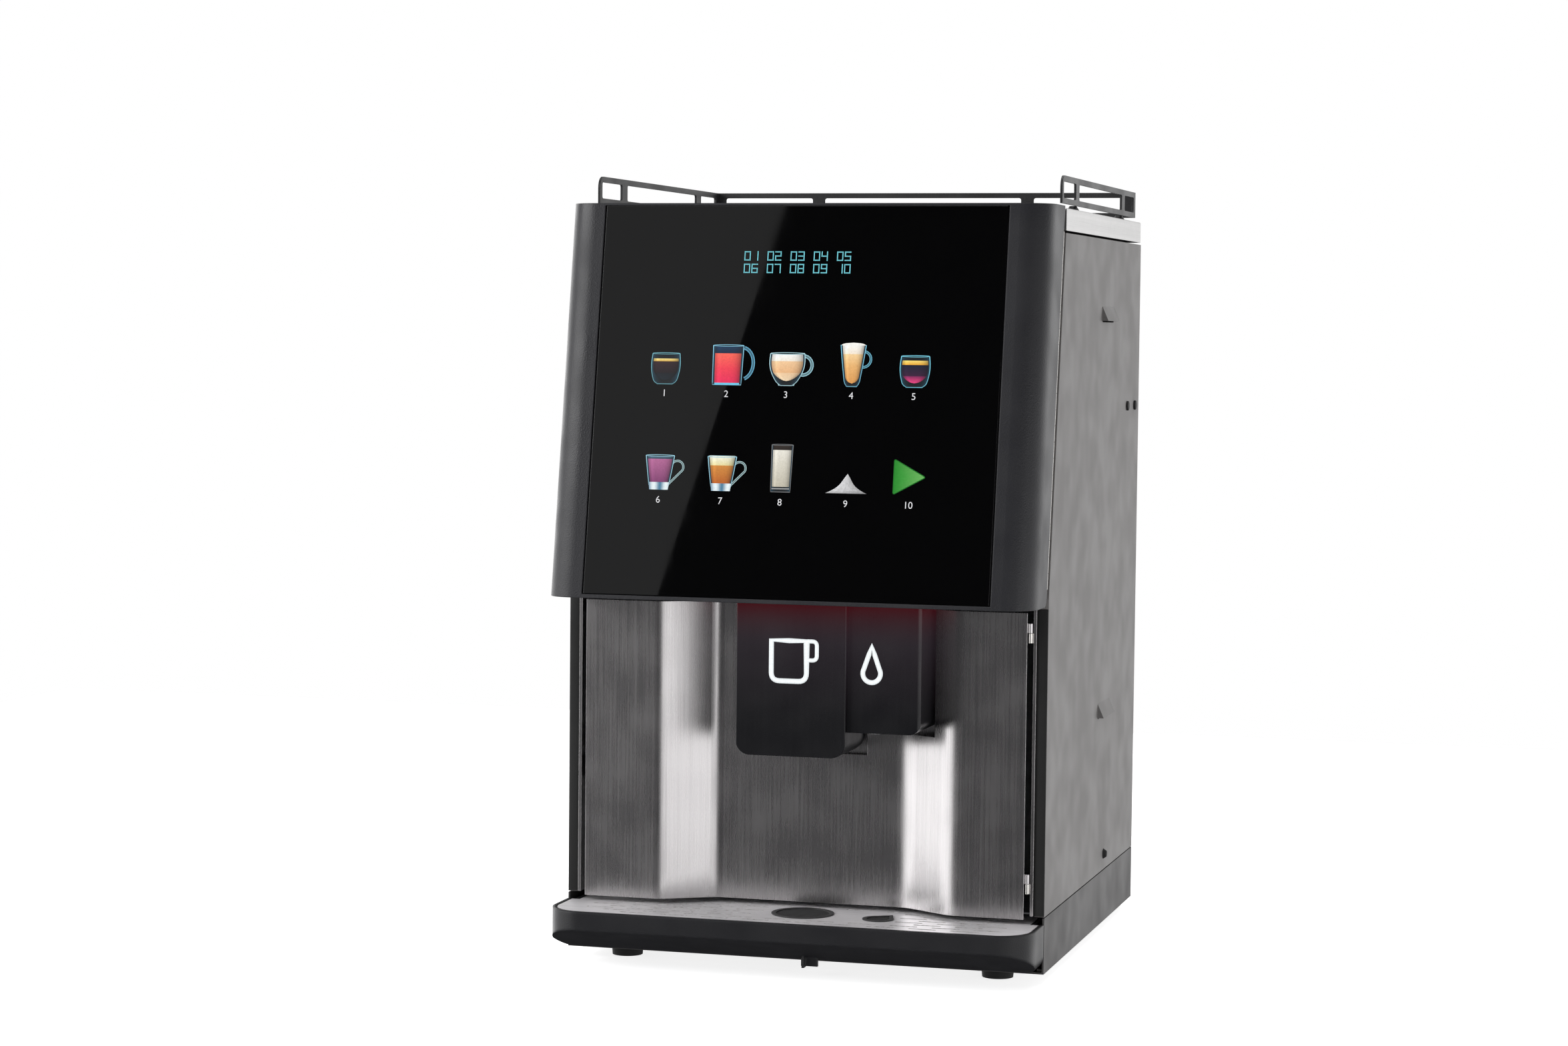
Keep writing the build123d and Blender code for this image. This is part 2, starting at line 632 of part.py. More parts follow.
def cup_unit_cover():
    """Black cover over the product outlets, open below."""
    top = HEAD_TOP
    shape = block(CUP_UNIT, (CUP_UNIT_FRONT, HEAD_BACK), (CUP_UNIT_BOTTOM, top))
    heel = shape.edges().filter_by(Axis.X).sort_by(lambda e: e.center().Y - e.center().Z)[-1]
    shape = fillet(heel, 24)
    shape = fillet(shape.faces().sort_by(Axis.Y)[0].edges().filter_by(Axis.Z), 0.8)
    lower = (CUP_UNIT_BOTTOM - 1, CUP_UNIT_BOTTOM + 12)
    for x, sign in ((CUP_UNIT[0], 1), (CUP_UNIT[1], -1)):
        corner = block(sorted((x - sign, x + sign * 12)), (CUP_UNIT_FRONT - 1, HEAD_BACK + 1), lower)
        corner -= rod((x + sign * 12, -180, CUP_UNIT_BOTTOM + 12), 12, 90, "Y")
        shape -= corner
    wall = HEAD_WALL
    low, high = CUP_UNIT
    hollow_height = (CUP_UNIT_BOTTOM + wall, top - wall)
    hollow = block((low + wall, high - wall), (CUP_UNIT_FRONT + wall, HEAD_BACK + 1), hollow_height)
    heel = hollow.edges().filter_by(Axis.X).sort_by(lambda e: e.center().Y - e.center().Z)[-1]
    hollow = fillet(heel, 24)
    hollow = fillet(hollow.edges().filter_by(Axis.Y).group_by(Axis.Z)[0], 9.5)
    shape -= hollow
    mouth_height = (CUP_UNIT_BOTTOM - 1, CUP_UNIT_BOTTOM + 5)
    shape -= block((low + 13, high - 13), (CUP_UNIT_FRONT + 8, HEAD_BACK - 27), mouth_height)
    return shape


def water_unit_cover():
    """Black cover over the hot water outlet, its outer corner rounded back."""
    low, high = WATER_UNIT
    span = (WATER_UNIT_BOTTOM, HEAD_TOP)
    shape = block(WATER_UNIT, (WATER_UNIT_FRONT, HEAD_BACK), span)
    corner = shape.edges().filter_by(Axis.Z).sort_by(lambda e: e.center().X - e.center().Y)[-1]
    shape = fillet(corner, 3)
    x, z = high - 9, WATER_UNIT_BOTTOM + 9
    corner = block((x, high + 1), (WATER_UNIT_FRONT - 1, HEAD_BACK + 1), (WATER_UNIT_BOTTOM - 1, z))
    shape -= corner - rod((x, -180, z), 9, 90, "Y")
    wall = HEAD_WALL
    hollow_height = (span[0] + wall, span[1] - wall)
    hollow = block((low + wall, high - wall), (WATER_UNIT_FRONT + wall, HEAD_BACK + 1), hollow_height)
    shape -= fillet(hollow.edges().filter_by(Axis.Y).sort_by(lambda e: e.center().X - e.center().Z)[-1], 7)
    shape -= rod((WATER_NOZZLE[0], WATER_NOZZLE[1], span[0]), 9, 12)
    return shape


def head_backplate():
    """Fixed plate behind the notch that carries both covers, with holes for the product tubes."""
    plate = block((-62, 120), (HEAD_BACK, HEAD_BACK + 1.5), (174, SPLASH_TOP + 2))
    for x in HEAD_HOLES_X:
        plate -= rod((x, HEAD_BACK, BOWL_Z - 8), 6.5, 8, "Y")
    plate -= rod((WATER_NOZZLE[0] + 10, HEAD_BACK, 262), 6.5, 8, "Y")
    return plate


def nozzles():
    """Two product spouts under the cup unit and one water spout under the water unit."""
    shapes = []
    for offset in (-9, 9):
        shapes.append(pipe((CUP_NOZZLE[0] + offset, CUP_NOZZLE[1], 203), 6, 3.5, 30))
    bar = block((CUP_NOZZLE[0] - 22, CUP_NOZZLE[0] + 22), (CUP_NOZZLE[1] - 3, HEAD_BACK), (208, 213))
    for offset in (-9, 9):
        bar -= rod((CUP_NOZZLE[0] + offset, CUP_NOZZLE[1], 210), 6, 20)
    shapes.append(bar)
    x, y = WATER_NOZZLE
    spout = pipe((x, y, 221), 7.5, 4.0, 36)
    spout += block((x - 4, x + 4), (y + 7, HEAD_BACK), (226, 234))
    return union(shapes) + spout


# Drip tray


def tray_plan(half, front, back, corner):
    """Plan outline with rounded front corners."""
    face = Pos(0, (front + back) / 2, 0) * Rectangle(2 * half, back - front)
    return fillet(face.vertices().group_by(Axis.Y)[0], corner)


def drip_tray():
    """Tray with an upright front band, a sloping underside and a narrower part that slides in."""
    body = plan_profile(tray_plan(TRAY_HALF, TRAY_FRONT, TRAY_NECK, TRAY_CORNER), TRAY_BOTTOM, TRAY_TOP)
    slope = [(TRAY_FRONT - 5, TRAY_BOTTOM - 2), (TRAY_FRONT - 5, TRAY_CREASE + 4)]
    slope += [(TRAY_FRONT, TRAY_CREASE), (TRAY_UNDERCUT, TRAY_BOTTOM), (TRAY_UNDERCUT, TRAY_BOTTOM - 2)]
    body -= side_profile(slope, -230, 230)
    corner = (TRAY_HALF, TRAY_BOTTOM + TRAY_END_ROUND)
    foot = (TRAY_HALF - 9, TRAY_BOTTOM)
    outline = Polyline(foot, (foot[0], TRAY_BOTTOM - 2), (TRAY_HALF + 5, TRAY_BOTTOM - 2))
    outline += Polyline((TRAY_HALF + 5, TRAY_BOTTOM - 2), (TRAY_HALF + 5, corner[1]), corner)
    outline += ThreePointArc(corner, (TRAY_HALF - 2.6, TRAY_BOTTOM + 4), foot)
    end = Pos(0, -170, 0) * extrude(make_face(Plane.XZ * outline), 80, dir=(0, -1, 0))
    body -= end
    body -= mirrored(end)
    body += block((-TRAY_NECK_HALF, TRAY_NECK_HALF), (TRAY_NECK - 1, TRAY_BACK), (TRAY_BOTTOM, TRAY_TOP))
    wall = TRAY_WALL
    hollow = tray_plan(TRAY_HALF - 3.5, TRAY_FRONT + 3, TRAY_NECK + 1, TRAY_CORNER - 3)
    body -= plan_profile(hollow, TRAY_CREASE + 3, TRAY_TOP + 1)
    inner = TRAY_NECK_HALF - wall
    floor = TRAY_BOTTOM + wall
    body -= block((-inner, inner), (TRAY_UNDERCUT + 4, TRAY_BACK - wall), (floor, TRAY_TOP + 1))
    ledge = TRAY_TOP - GRILLE_THICK - 0.2
    for side in (-1, 1):
        x = side * (inner - 1)
        body += block((x - 1.6, x + 1.6), (-190, GRILLE_BACK), (floor - 0.5, ledge))
    body += block((-inner, inner), (GRILLE_BACK, GRILLE_BACK + 2), (floor - 0.5, ledge))
    body += rod((FLOAT[0], FLOAT[1], TRAY_BOTTOM + 13), 2.0, 24)
    body += block((7, 21), (-200, -197), (TRAY_BOTTOM - 4, TRAY_BOTTOM + 5))
    body += block((8.5, 10.5), (-204, -197), (TRAY_BOTTOM - 5, TRAY_BOTTOM + 7))
    return body


def drop_face(grow):
    """Plan outline of the drop: a circle with a tail that comes to a point."""
    radius = DROP_RADIUS + grow
    tail = DROP_LENGTH - DROP_RADIUS + grow
    circle = Circle(radius)
    touch = radius * 0.93
    wedge = make_face(Polyline((-touch, radius * 0.37), (0, tail), (touch, radius * 0.37), close=True))
    face = circle + wedge
    return Pos(*DROP_INSERT) * Rot(0, 0, -22) * face


def tray_grille():
    """Flat steel grille with staggered rows of slots and holes for the two inserts."""
    plate = tray_plan(TRAY_HALF - 4.2, TRAY_FRONT + 3.6, GRILLE_BACK, TRAY_CORNER - 3.6)
    side = block((TRAY_NECK_HALF - 4, TRAY_HALF + 5), (TRAY_NECK - 0.4, GRILLE_BACK + 1), (-5, 5))
    holes = []
    rows = int((GRILLE_BACK - TRAY_FRONT - 12) / SLOT_ROW)
    for row in range(rows):
        y = TRAY_FRONT + 13 + SLOT_ROW * row
        shift = SLOT_PITCH / 2 if row % 2 else 0
        for column in range(-6, 6):
            x = SLOT_PITCH * column + shift + 10
            if abs(x) > TRAY_NECK_HALF - SLOT_LENGTH / 2 - 8:
                continue
            if abs(x) > 160 and y < TRAY_FRONT + 18:
                continue
            near_cup = abs(y - CUP_INSERT[1]) < CUP_INSERT_RADIUS + 5
            if near_cup and abs(x - CUP_INSERT[0]) < CUP_INSERT_RADIUS + SLOT_LENGTH / 2 + 3:
                continue
            near_drop = abs(y - DROP_INSERT[1] - 6) < 26
            if near_drop and abs(x - DROP_INSERT[0]) < 16 + SLOT_LENGTH / 2:
                continue
            holes.append(Pos(x, y, 0) * SlotOverall(SLOT_LENGTH, SLOT_WIDTH))
    low = TRAY_TOP - GRILLE_THICK - 0.2
    shape = plan_profile(plate, low, low + GRILLE_THICK)
    for hole in holes:
        shape -= plan_profile(hole, low - 1, low + 3)
    shape -= Pos(0, 0, low) * side
    shape -= Pos(0, 0, low) * mirrored(side)
    shape -= rod((*CUP_INSERT, low), CUP_INSERT_RADIUS - 1.5, 8)
    shape -= plan_profile(drop_face(-1.2), low - 2, low + 5)
    return shape


def ribbed(face, inner_face, spot, half):
    """Insert with a raised rim, open between cross ribs."""
    top = TRAY_TOP - 0.2
    rim = plan_profile(face, top, top + 0.8)
    wall = plan_profile(inner_face, top - 5, top + 0.1)
    hole = offset(inner_face, -2.0)
    shape = rim + wall - plan_profile(hole, top - 6, top + 2)
    slats = []
    step = 3.6
    count = int(2 * half / step)
    for place in range(count + 1):
        y = spot[1] - half + step * place
        across = (spot[0] - half - 6, spot[0] + half + 6)
        slats.append(block(across, (y - 0.7, y + 0.7), (top - 4, top + 0.1)))
    ribs = union(slats) & plan_profile(offset(inner_face, -1.0), top - 4, top + 0.1)
    return shape + ribs


def tray_inserts():
    """Round ribbed cup rest and drop shaped ribbed rest."""
    round_face = Pos(*CUP_INSERT) * Circle(CUP_INSERT_RADIUS)
    round_inner = Pos(*CUP_INSERT) * Circle(CUP_INSERT_RADIUS - 1.8)
    cup = ribbed(round_face, round_inner, CUP_INSERT, CUP_INSERT_RADIUS - 3)
    drop = ribbed(drop_face(0), drop_face(-1.5), (DROP_INSERT[0] + 3, DROP_INSERT[1] + 5), DROP_LENGTH / 2)
    return cup + drop


def tray_float():
    """Overflow float that rides up its post in the tray."""
    return pipe((*FLOAT, TRAY_BOTTOM + TRAY_WALL + 4.4), 10, 2.0 + RUNNING, 8)


# Frames inside


def cabinet_shelf():
    """Folded shelf between the dry and the wet compartment, with a front rail and openings for chutes."""
    inside = HALF_WIDTH - SHEET - 0.4
    shape = block((-inside, inside), (-160, BACK - SHEET - 0.4), (SHELF, SHELF + SHEET))
    shape += block((-inside, inside), (-160, -158.5), (SHELF, SHELF + 10))
    for x in BOWLS_X:
        shape -= rod((x, BOWL_Y, SHELF), 16, 8)
    shape -= rod((BREWER[0], -60, SHELF), 14, 8)
    shape -= block((60, 160), (120, 200), (SHELF - 1, SHELF + 3))
    return shape


def wet_liner():
    """Folded liner of the wet compartment: floor above the tray and the wall in front of the boiler."""
    inside = HALF_WIDTH - SHEET - 0.4
    shape = block((-inside, inside), (-146, 61.5), (53, 54.5))
    shape += block((-inside, inside), (60, 61.5), (53, SHELF - 0.5))
    shape -= rod((BREWER[0] + 90, 0, 53), 12, 8)
    for x in BOWLS_X:
        shape -= rod((x, 60, 220), 8, 8, "Y")
    return shape


# Beans


def bean_hopper():
    """Bean hopper: an open box that narrows to a neck over the grinder."""
    x, y = GRINDER
    upper = block((-196, -70), (y - 95, y + 95), (520, 606))
    upper -= block((-193.5, -72.5), (y - 92.5, y + 92.5), (517, 608))
    top = Pos(-133, y, 520) * Rectangle(126, 190)
    bottom = Pos(x, y, 470) * Rectangle(50, 50)
    funnel = loft([top, bottom])
    inner_top = Pos(-133, y, 520) * Rectangle(121, 185)
    inner_bottom = Pos(x, y, 470) * Rectangle(45, 45)
    funnel -= loft([inner_top, inner_bottom])
    neck = block((x - 25, x + 25), (y - 25, y + 25), (456, 470))
    neck -= block((x - 22.5, x + 22.5), (y - 22.5, y + 22.5), (455, 471))
    return upper + funnel + neck


def bean_grinder():
    """Grinder housing with the burr chamber, a bearing and the outlet towards the brewer."""
    x, y = GRINDER
    shape = rod((x, y, 420), 38, 70)
    shape -= rod((x, y, 440), 26, 60)
    shape += block((x - 15, x + 15), (y - 62, y - 30), (392, 424))
    shape -= block((x - 11, x + 11), (y - 66, y - 20), (412, 420))
    shape -= block((x - 11, x + 11), (y - 58, y - 36), (388, 420))
    shape -= rod((x, y, 400), 4 + RUNNING, 60)
    shape -= rod((x, y, 452), 30, 8)
    return shape


def grinder_burr():
    """Conical burr on its shaft."""
    x, y = GRINDER
    cone = Pos(x, y, 427) * Cone(22, 12, 26)
    for step in range(12):
        flute = Pos(x, y, 427) * Rot(0, 0, 30 * step) * Pos(20, 0, 0) * Rot(0, -21, 14) * Box(3, 2.4, 40)
        cone -= flute
    return cone + rod((x, y, 395.5), 4, 46)


def grinder_motor():
    """Grinder motor standing on the shelf, under the grinder."""
    x, y = GRINDER
    shape = rod((x, y, 342), 34, 55)
    shape += rod((x, y, 372), 20, 6)
    shape += block((x - 42, x + 42), (y - 30, y + 30), (SHELF + SHEET, SHELF + SHEET + 4))
    for angle in range(0, 360, 90):
        shape += Pos(x, y, 0) * Rot(0, 0, 45 + angle) * Pos(31, 0, 378) * Cylinder(2.5, 14)
    shape += rod((x, y, 370), 33.6, 3)
    return shape - rod((x, y, 372), 6, 22)


# Powders


def canisters():
    """Three powder canisters with a trough for the auger and a downward outlet."""
    shapes = []
    y_low, y_high = CANISTER_Y
    z_low, z_high = CANISTER_Z
    for x in CANISTERS_X:
        half = CANISTER_HALF
        shell = block((x - half, x + half), CANISTER_Y, (z_low, z_high))
        shell -= block((x - half + 2, x + half - 2), (y_low + 2, y_high - 2), (440, z_high + 1))
        middle = (y_low + y_high) / 2
        shell -= rod((x, middle, AUGER_Z), 14, y_high - y_low - 4, "Y")
        shell -= block((x - 14, x + 14), (y_low + 2, y_high - 2), (AUGER_Z, 441))
        shell -= rod((x, y_high, AUGER_Z), 3 + RUNNING, 12, "Y")
        outlet = pipe((x, y_low - 12, AUGER_Z), 17, 14, 26, "Y")
        outlet += rod((x, y_low - 26, AUGER_Z), 17, 3, "Y")
        outlet -= block((x - 10, x + 10), (y_low - 23, y_low - 6), (AUGER_Z - 20, AUGER_Z - 5))
        shell -= rod((x, y_low, AUGER_Z), 14, 12, "Y")
        shapes.append(shell + (outlet - block((x - 40, x + 40), (y_low, y_high), (300, 600))))
    return union(shapes)


def canister_lids():
    """Lids that sit over the canisters."""
    shapes = []
    z = CANISTER_Z[1]
    for x in CANISTERS_X:
        half = CANISTER_HALF + 2.5
        cap = block((x - half, x + half), (CANISTER_Y[0] - 2.5, CANISTER_Y[1] + 2.5), (z - 10, z + 3))
        cap -= block((x - half + 2, x + half - 2), (CANISTER_Y[0] - 0.5, CANISTER_Y[1] + 0.5), (z - 11, z))
        shapes.append(cap)
    return union(shapes)


def auger(x):
    """Feed screw drawn as tilted blades on a shaft."""
    y_low, y_high = CANISTER_Y
    shape = rod((x, (y_low + y_high) / 2 - 3, AUGER_Z), 3, y_high - y_low + 28, "Y")
    blade = Cylinder(12.5, 1.6)
    for place in range(11):
        y = y_low - 6 + 19 * place
        shape += Pos(x, y, AUGER_Z) * Rot(90, 0, 0) * Rot(0, 14, 0) * blade
    return shape


def drive_motors():
    """Auger motors behind the canisters and whipper motors behind the mixing bowls."""
    shapes = []
    for x in CANISTERS_X:
        face = CANISTER_Y[1] + 12
        body = block((x - 18, x + 18), (face, face + 18), (AUGER_Z - 22, AUGER_Z + 22))
        body += rod((x, face + 32, AUGER_Z), 14, 30, "Y")
        foot = block((x - 18, x + 18), (face, face + 3), (SHELF + SHEET, AUGER_Z))
        shapes.append(body + foot)
    for x in BOWLS_X:
        body = rod((x, BOWL_Y + 64, BOWL_Z), 18, 46, "Y")
        body += rod((x, BOWL_Y + 40, BOWL_Z), 8, 6, "Y")
        body -= rod((x, BOWL_Y + 37, BOWL_Z), 3.1, 16, "Y")
        body += block((x - 16, x + 16), (BOWL_Y + 60, BOWL_Y + 66), (BOWL_Z, SHELF))
        shapes.append(body)
    return union(shapes)


# Mixing


def mixing_bowls():
    """Funnel bowls where powder meets hot water, each on a whipper chamber with a front outlet."""
    shapes = []
    for x in BOWLS_X:
        shape = Pos(x, BOWL_Y, 286) * Cone(17, 30, 40)
        shape += rod((x, BOWL_Y, 262), 16, 12)
        shape += rod((x, BOWL_Y + 8, BOWL_Z), 19, 40, "Y")
        shape += rod((x, BOWL_Y - 18, BOWL_Z - 8), 6, 16, "Y")
        shape -= Pos(x, BOWL_Y, 287) * Cone(15.2, 28.5, 40)
        shape -= rod((x, BOWL_Y, 260), 12, 20)
        shape -= rod((x, BOWL_Y + 9.5, BOWL_Z), 16.5, 33, "Y")
        shape -= rod((x, BOWL_Y + 28, BOWL_Z), 3 + RUNNING, 10, "Y")
        shape -= rod((x, BOWL_Y - 16, BOWL_Z - 8), 4, 24, "Y")
        shapes.append(shape)
    return union(shapes)


def whipper_impeller(x):
    """Impeller disc with blades on its shaft."""
    shape = rod((x, BOWL_Y + 14, BOWL_Z), 14, 2, "Y")
    for step in range(4):
        blade = Pos(x, BOWL_Y + 9, BOWL_Z) * Rot(0, 45 * step, 0) * Box(24, 9, 1.6)
        shape += blade
    return shape + rod((x, BOWL_Y + 26, BOWL_Z), 3, 26, "Y")


def product_tubes():
    """Hoses from the mixing bowls to the head: straight runs joined by tangent arcs."""
    shapes = []
    height = BOWL_Z - 8
    turn_y = BOWL_Y - 36
    for x, hole in zip(BOWLS_X, HEAD_HOLES_X):
        start = (x, BOWL_Y - 26.2, height)
        corners = [start, (x, turn_y, height), (hole, turn_y, height), (hole, HEAD_BACK - 14, height)]
        route = FilletPolyline(*corners, radius=8)
        hose = sweep(Plane(origin=start, z_dir=(0, -1, 0)) * Circle(5.0), path=route)
        shapes.append(hose)
    return union(shapes)


# Brewer


def brewer_frame():
    """Brew group frame: base block with the chamber and two guide columns under a top bridge."""
    x, y = BREWER
    shape = block((x - 40, x + 40), (y - 35, y + 35), (170, 176))
    shape += pipe((x, y, 200), 28, 24, 48)
    shape += block((x - 40, x + 40), (y - 35, y + 35), (284, 290))
    for offset in (-34, 34):
        shape += rod((x + offset, y, 230), 3, 110)
    return shape - rod((x, y, 287), 6 + RUNNING, 12)


def brewer_piston():
    """Piston with its rod, above the chamber."""
    x, y = BREWER
    shape = rod((x, y, 238), 23.6, 12)
    shape += rod((x, y, 270), 6, 56)
    return shape


def grounds_bin():
    """Open bin under the brewer for used grounds."""
    shape = block((-196, -98), (-145, 40), (55, 150))
    shape = fillet(shape.edges().filter_by(Axis.Z), 8)
    hollow = block((-193.5, -100.5), (-142.5, 37.5), (57.5, 151))
    return shape - fillet(hollow.edges().filter_by(Axis.Z), 6)


# Water and power


def boiler():
    """Boiler tank with domed ends, element flange and three fittings."""
    shape = rod((110, 150, 170), 48, 150)
    shape = fillet(shape.edges().filter_by(GeomType.CIRCLE), 14)
    shape += rod((110, 150, 94), 26, 10)
    for x, y in ((95, 135), (125, 135), (110, 170)):
        shape += rod((x, y, 251), 4, 16)
    for step in (-1, 1):
        shape += block((110 + step * 52 - 6, 110 + step * 52 + 6), (146, 154), (FOOT_HEIGHT + SHEET, 130))
    return shape


def water_pump():
    """Vibration pump on its bracket."""
    shape = rod((10, 150, 60), 20, 60, "Y")
    shape += rod((10, 150, 60), 7, 100, "Y")
    shape += block((-14, 34), (130, 170), (FOOT_HEIGHT + SHEET, 42))
    return shape


def solenoid_valves():
    """Row of water valves on the wet compartment wall."""
    shapes = []
    for place in range(3):
        x = -30 + 42 * place
        body = block((x - 11, x + 11), (61.5, 84), (250, 276))
        body += rod((x, 73, 289), 10, 26)
        shapes.append(body)
    return union(shapes)


def header_tank():
    """Open water tank with a lid at the rear left."""
    shape = block((-190, -95), (100, 215), (170, 290))
    shape -= block((-187.5, -97.5), (102.5, 212.5), (172.5, 287.5))
    shape += rod((-142, 158, 296), 8, 12)
    return shape


def power_supply():
    """Caged power supply on the base pan."""
    shape = block((-190, -95), (100, 215), (FOOT_HEIGHT + SHEET, 76))
    for place in range(7):
        y = 112 + 14 * place
        shape -= block((-192, -187), (y - 4, y + 4), (25, 65))
    return shape


def control_board():
    """Main board on stand-offs inside the rear panel."""
    shape = block((0, 170), (214, 215.6), (400, 570))
    for x in (8, 162):
        for z in (408, 562):
            shape += rod((x, 227, z), 3, 22.9, "Y")
    for x, z, wide, tall in BOARD_PARTS:
        shape += block((x - wide / 2, x + wide / 2), (206, 214), (z - tall / 2, z + tall / 2))
    return shape


def fan_housing():
    """Square extractor fan frame behind the rear grille."""
    x, z = FAN
    y_low, y_high = BACK - SHEET - 26, BACK - SHEET
    shape = block((x - 42, x + 42), (y_low, y_high), (z - 42, z + 42))
    shape -= rod((x, (y_low + y_high) / 2, z), 38, 40, "Y")
    hub = rod((x, y_low + 3, z), 15, 6, "Y")
    for step in range(4):
        hub += Pos(x, y_low + 3, z) * Rot(0, 90 * step + 45, 0) * Pos(26, 0, 0) * Box(26, 5, 3)
    shape += hub
    return shape - rod((x, y_low, z), 2 + RUNNING, 30, "Y")


def fan_rotor():
    """Fan hub with seven blades."""
    x, z = FAN
    y = BACK - SHEET - 13
    shape = rod((x, y, z), 14, 12, "Y")
    for step in range(7):
        blade = Rot(0, 360 / 7 * step, 0) * Pos(24.5, 0, 0) * Rot(28, 0, 0) * Box(23, 1.6, 14)
        shape += Pos(x, y, z) * blade
    return shape + rod((x, y - 9, z), 2, 14, "Y")


door_leaf, cabinet_leaf = hinge_leaves()

keep("base_pan", base_pan())
keep("feet", feet())
keep("side_panel_right", side_panel_right())
keep("side_panel_left", mirrored(side_panel_right()))
keep("side_plugs", plugs())
keep("corner_trims", corner_trims())
keep("rear_panel", rear_panel())
keep("mains_inlet", mains_inlet())
keep("mains_rocker", mains_rocker())
keep("water_inlet", water_inlet())
keep("lid", lid())
keep("cup_rail", cup_rail())
keep("door_frame", door_frame())
keep("door_glass", door_glass())
keep("touch_board", touch_board())
keep("door_back_cover", door_back_cover())
keep("lock_barrel", lock_barrel())
keep("lock_cam", lock_cam())
keep("lock_keeper", lock_keeper())
keep("door_hinge_leaf", door_leaf)
keep("cabinet_hinge_leaf", cabinet_leaf)
keep("door_hinge_pin", door_hinge_pin())
keep("door_seal", door_seal())
keep("splash_panel", splash_panel())
keep("splash_hinge_brackets", splash_hinge_brackets())
keep("cup_unit_cover", cup_unit_cover())
keep("water_unit_cover", water_unit_cover())
keep("head_backplate", head_backplate())
keep("nozzles", nozzles())
keep("drip_tray", drip_tray())
keep("tray_grille", tray_grille())
keep("tray_inserts", tray_inserts())
keep("tray_float", tray_float())
keep("cabinet_shelf", cabinet_shelf())
keep("wet_liner", wet_liner())
keep("bean_hopper", bean_hopper())
keep("bean_grinder", bean_grinder())
keep("grinder_burr", grinder_burr())
keep("grinder_motor", grinder_motor())
keep("canisters", canisters())
keep("canister_lids", canister_lids())
for number, x in enumerate(CANISTERS_X, start=1):
    keep(f"auger_{number}", auger(x))
keep("drive_motors", drive_motors())
keep("mixing_bowls", mixing_bowls())
keep("product_tubes", product_tubes())
for number, x in enumerate(BOWLS_X, start=1):
    keep(f"whipper_impeller_{number}", whipper_impeller(x))
keep("brewer_frame", brewer_frame())
keep("brewer_piston", brewer_piston())
keep("grounds_bin", grounds_bin())
keep("boiler", boiler())
keep("water_pump", water_pump())
keep("solenoid_valves", solenoid_valves())
keep("header_tank", header_tank())
keep("power_supply", power_supply())
keep("control_board", control_board())
keep("fan_housing", fan_housing())
keep("fan_rotor", fan_rotor())

for name, shape in made.items():
    export_step(shape, f"parts/{name}.step")
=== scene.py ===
import json
import math
import random

import bpy
from mathutils import Matrix, Vector


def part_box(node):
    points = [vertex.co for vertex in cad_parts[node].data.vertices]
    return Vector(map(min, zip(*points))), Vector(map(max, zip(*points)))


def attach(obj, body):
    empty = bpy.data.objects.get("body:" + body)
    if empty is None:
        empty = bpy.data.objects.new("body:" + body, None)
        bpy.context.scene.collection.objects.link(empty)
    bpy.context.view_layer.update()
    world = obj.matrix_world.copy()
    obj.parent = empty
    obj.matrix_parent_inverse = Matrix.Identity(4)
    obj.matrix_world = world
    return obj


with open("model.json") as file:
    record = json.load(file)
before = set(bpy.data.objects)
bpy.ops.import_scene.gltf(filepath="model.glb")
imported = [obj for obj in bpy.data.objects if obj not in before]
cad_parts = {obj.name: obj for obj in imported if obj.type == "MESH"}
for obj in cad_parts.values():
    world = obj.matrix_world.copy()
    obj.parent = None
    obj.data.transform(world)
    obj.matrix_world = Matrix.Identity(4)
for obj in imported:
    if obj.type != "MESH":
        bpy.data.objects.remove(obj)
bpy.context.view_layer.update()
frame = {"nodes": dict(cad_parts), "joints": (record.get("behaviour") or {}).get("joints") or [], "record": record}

# Hot coffee vending machine: materials, printed and lit graphics, fixings and contents.
# Metres throughout. X is to the right, Y to the back, Z up.

MM = 0.001
random.seed(7)


# Small helpers for node trees


def add(tree, kind, **settings):
    """A new shader node with its settings."""
    made = tree.nodes.new("ShaderNode" + kind)
    for key, value in settings.items():
        setattr(made, key, value)
    return made


def link(tree, source, target):
    """Join two sockets."""
    tree.links.new(source, target)


def place(tree, stretch=(1, 1, 1)):
    """Object coordinates, stretched along each axis."""
    mapping = add(tree, "Mapping")
    mapping.inputs["Scale"].default_value = stretch
    link(tree, add(tree, "TexCoord").outputs["Object"], mapping.inputs["Vector"])
    return mapping.outputs["Vector"]


def noise(tree, scale, stretch=(1, 1, 1), detail=3.0, rough=0.5):
    """Noise from 0 to 1 whose scale is counted per metre."""
    made = add(tree, "TexNoise")
    made.inputs["Scale"].default_value = scale
    made.inputs["Detail"].default_value = detail
    made.inputs["Roughness"].default_value = rough
    link(tree, place(tree, stretch), made.inputs["Vector"])
    return made.outputs["Fac"]


def cells(tree, scale):
    """Distance to the nearest of scattered points, for leather and cast grain."""
    made = add(tree, "TexVoronoi", feature="SMOOTH_F1")
    made.inputs["Scale"].default_value = scale
    link(tree, place(tree), made.inputs["Vector"])
    return made.outputs["Distance"]


def remap(tree, value, low, high, start=0.3, end=0.7):
    """A value between start and end spread from low to high."""
    made = add(tree, "MapRange")
    made.inputs["From Min"].default_value = start
    made.inputs["From Max"].default_value = end
    made.inputs["To Min"].default_value = low
    made.inputs["To Max"].default_value = high
    link(tree, value, made.inputs["Value"])
    return made.outputs["Result"]


def maths(tree, operation, first, second):
    """One arithmetic step on sockets or numbers."""
    made = add(tree, "Math", operation=operation)
    for socket, value in zip(made.inputs, (first, second)):
        if isinstance(value, (int, float)):
            socket.default_value = value
        else:
            link(tree, value, socket)
    return made.outputs["Value"]


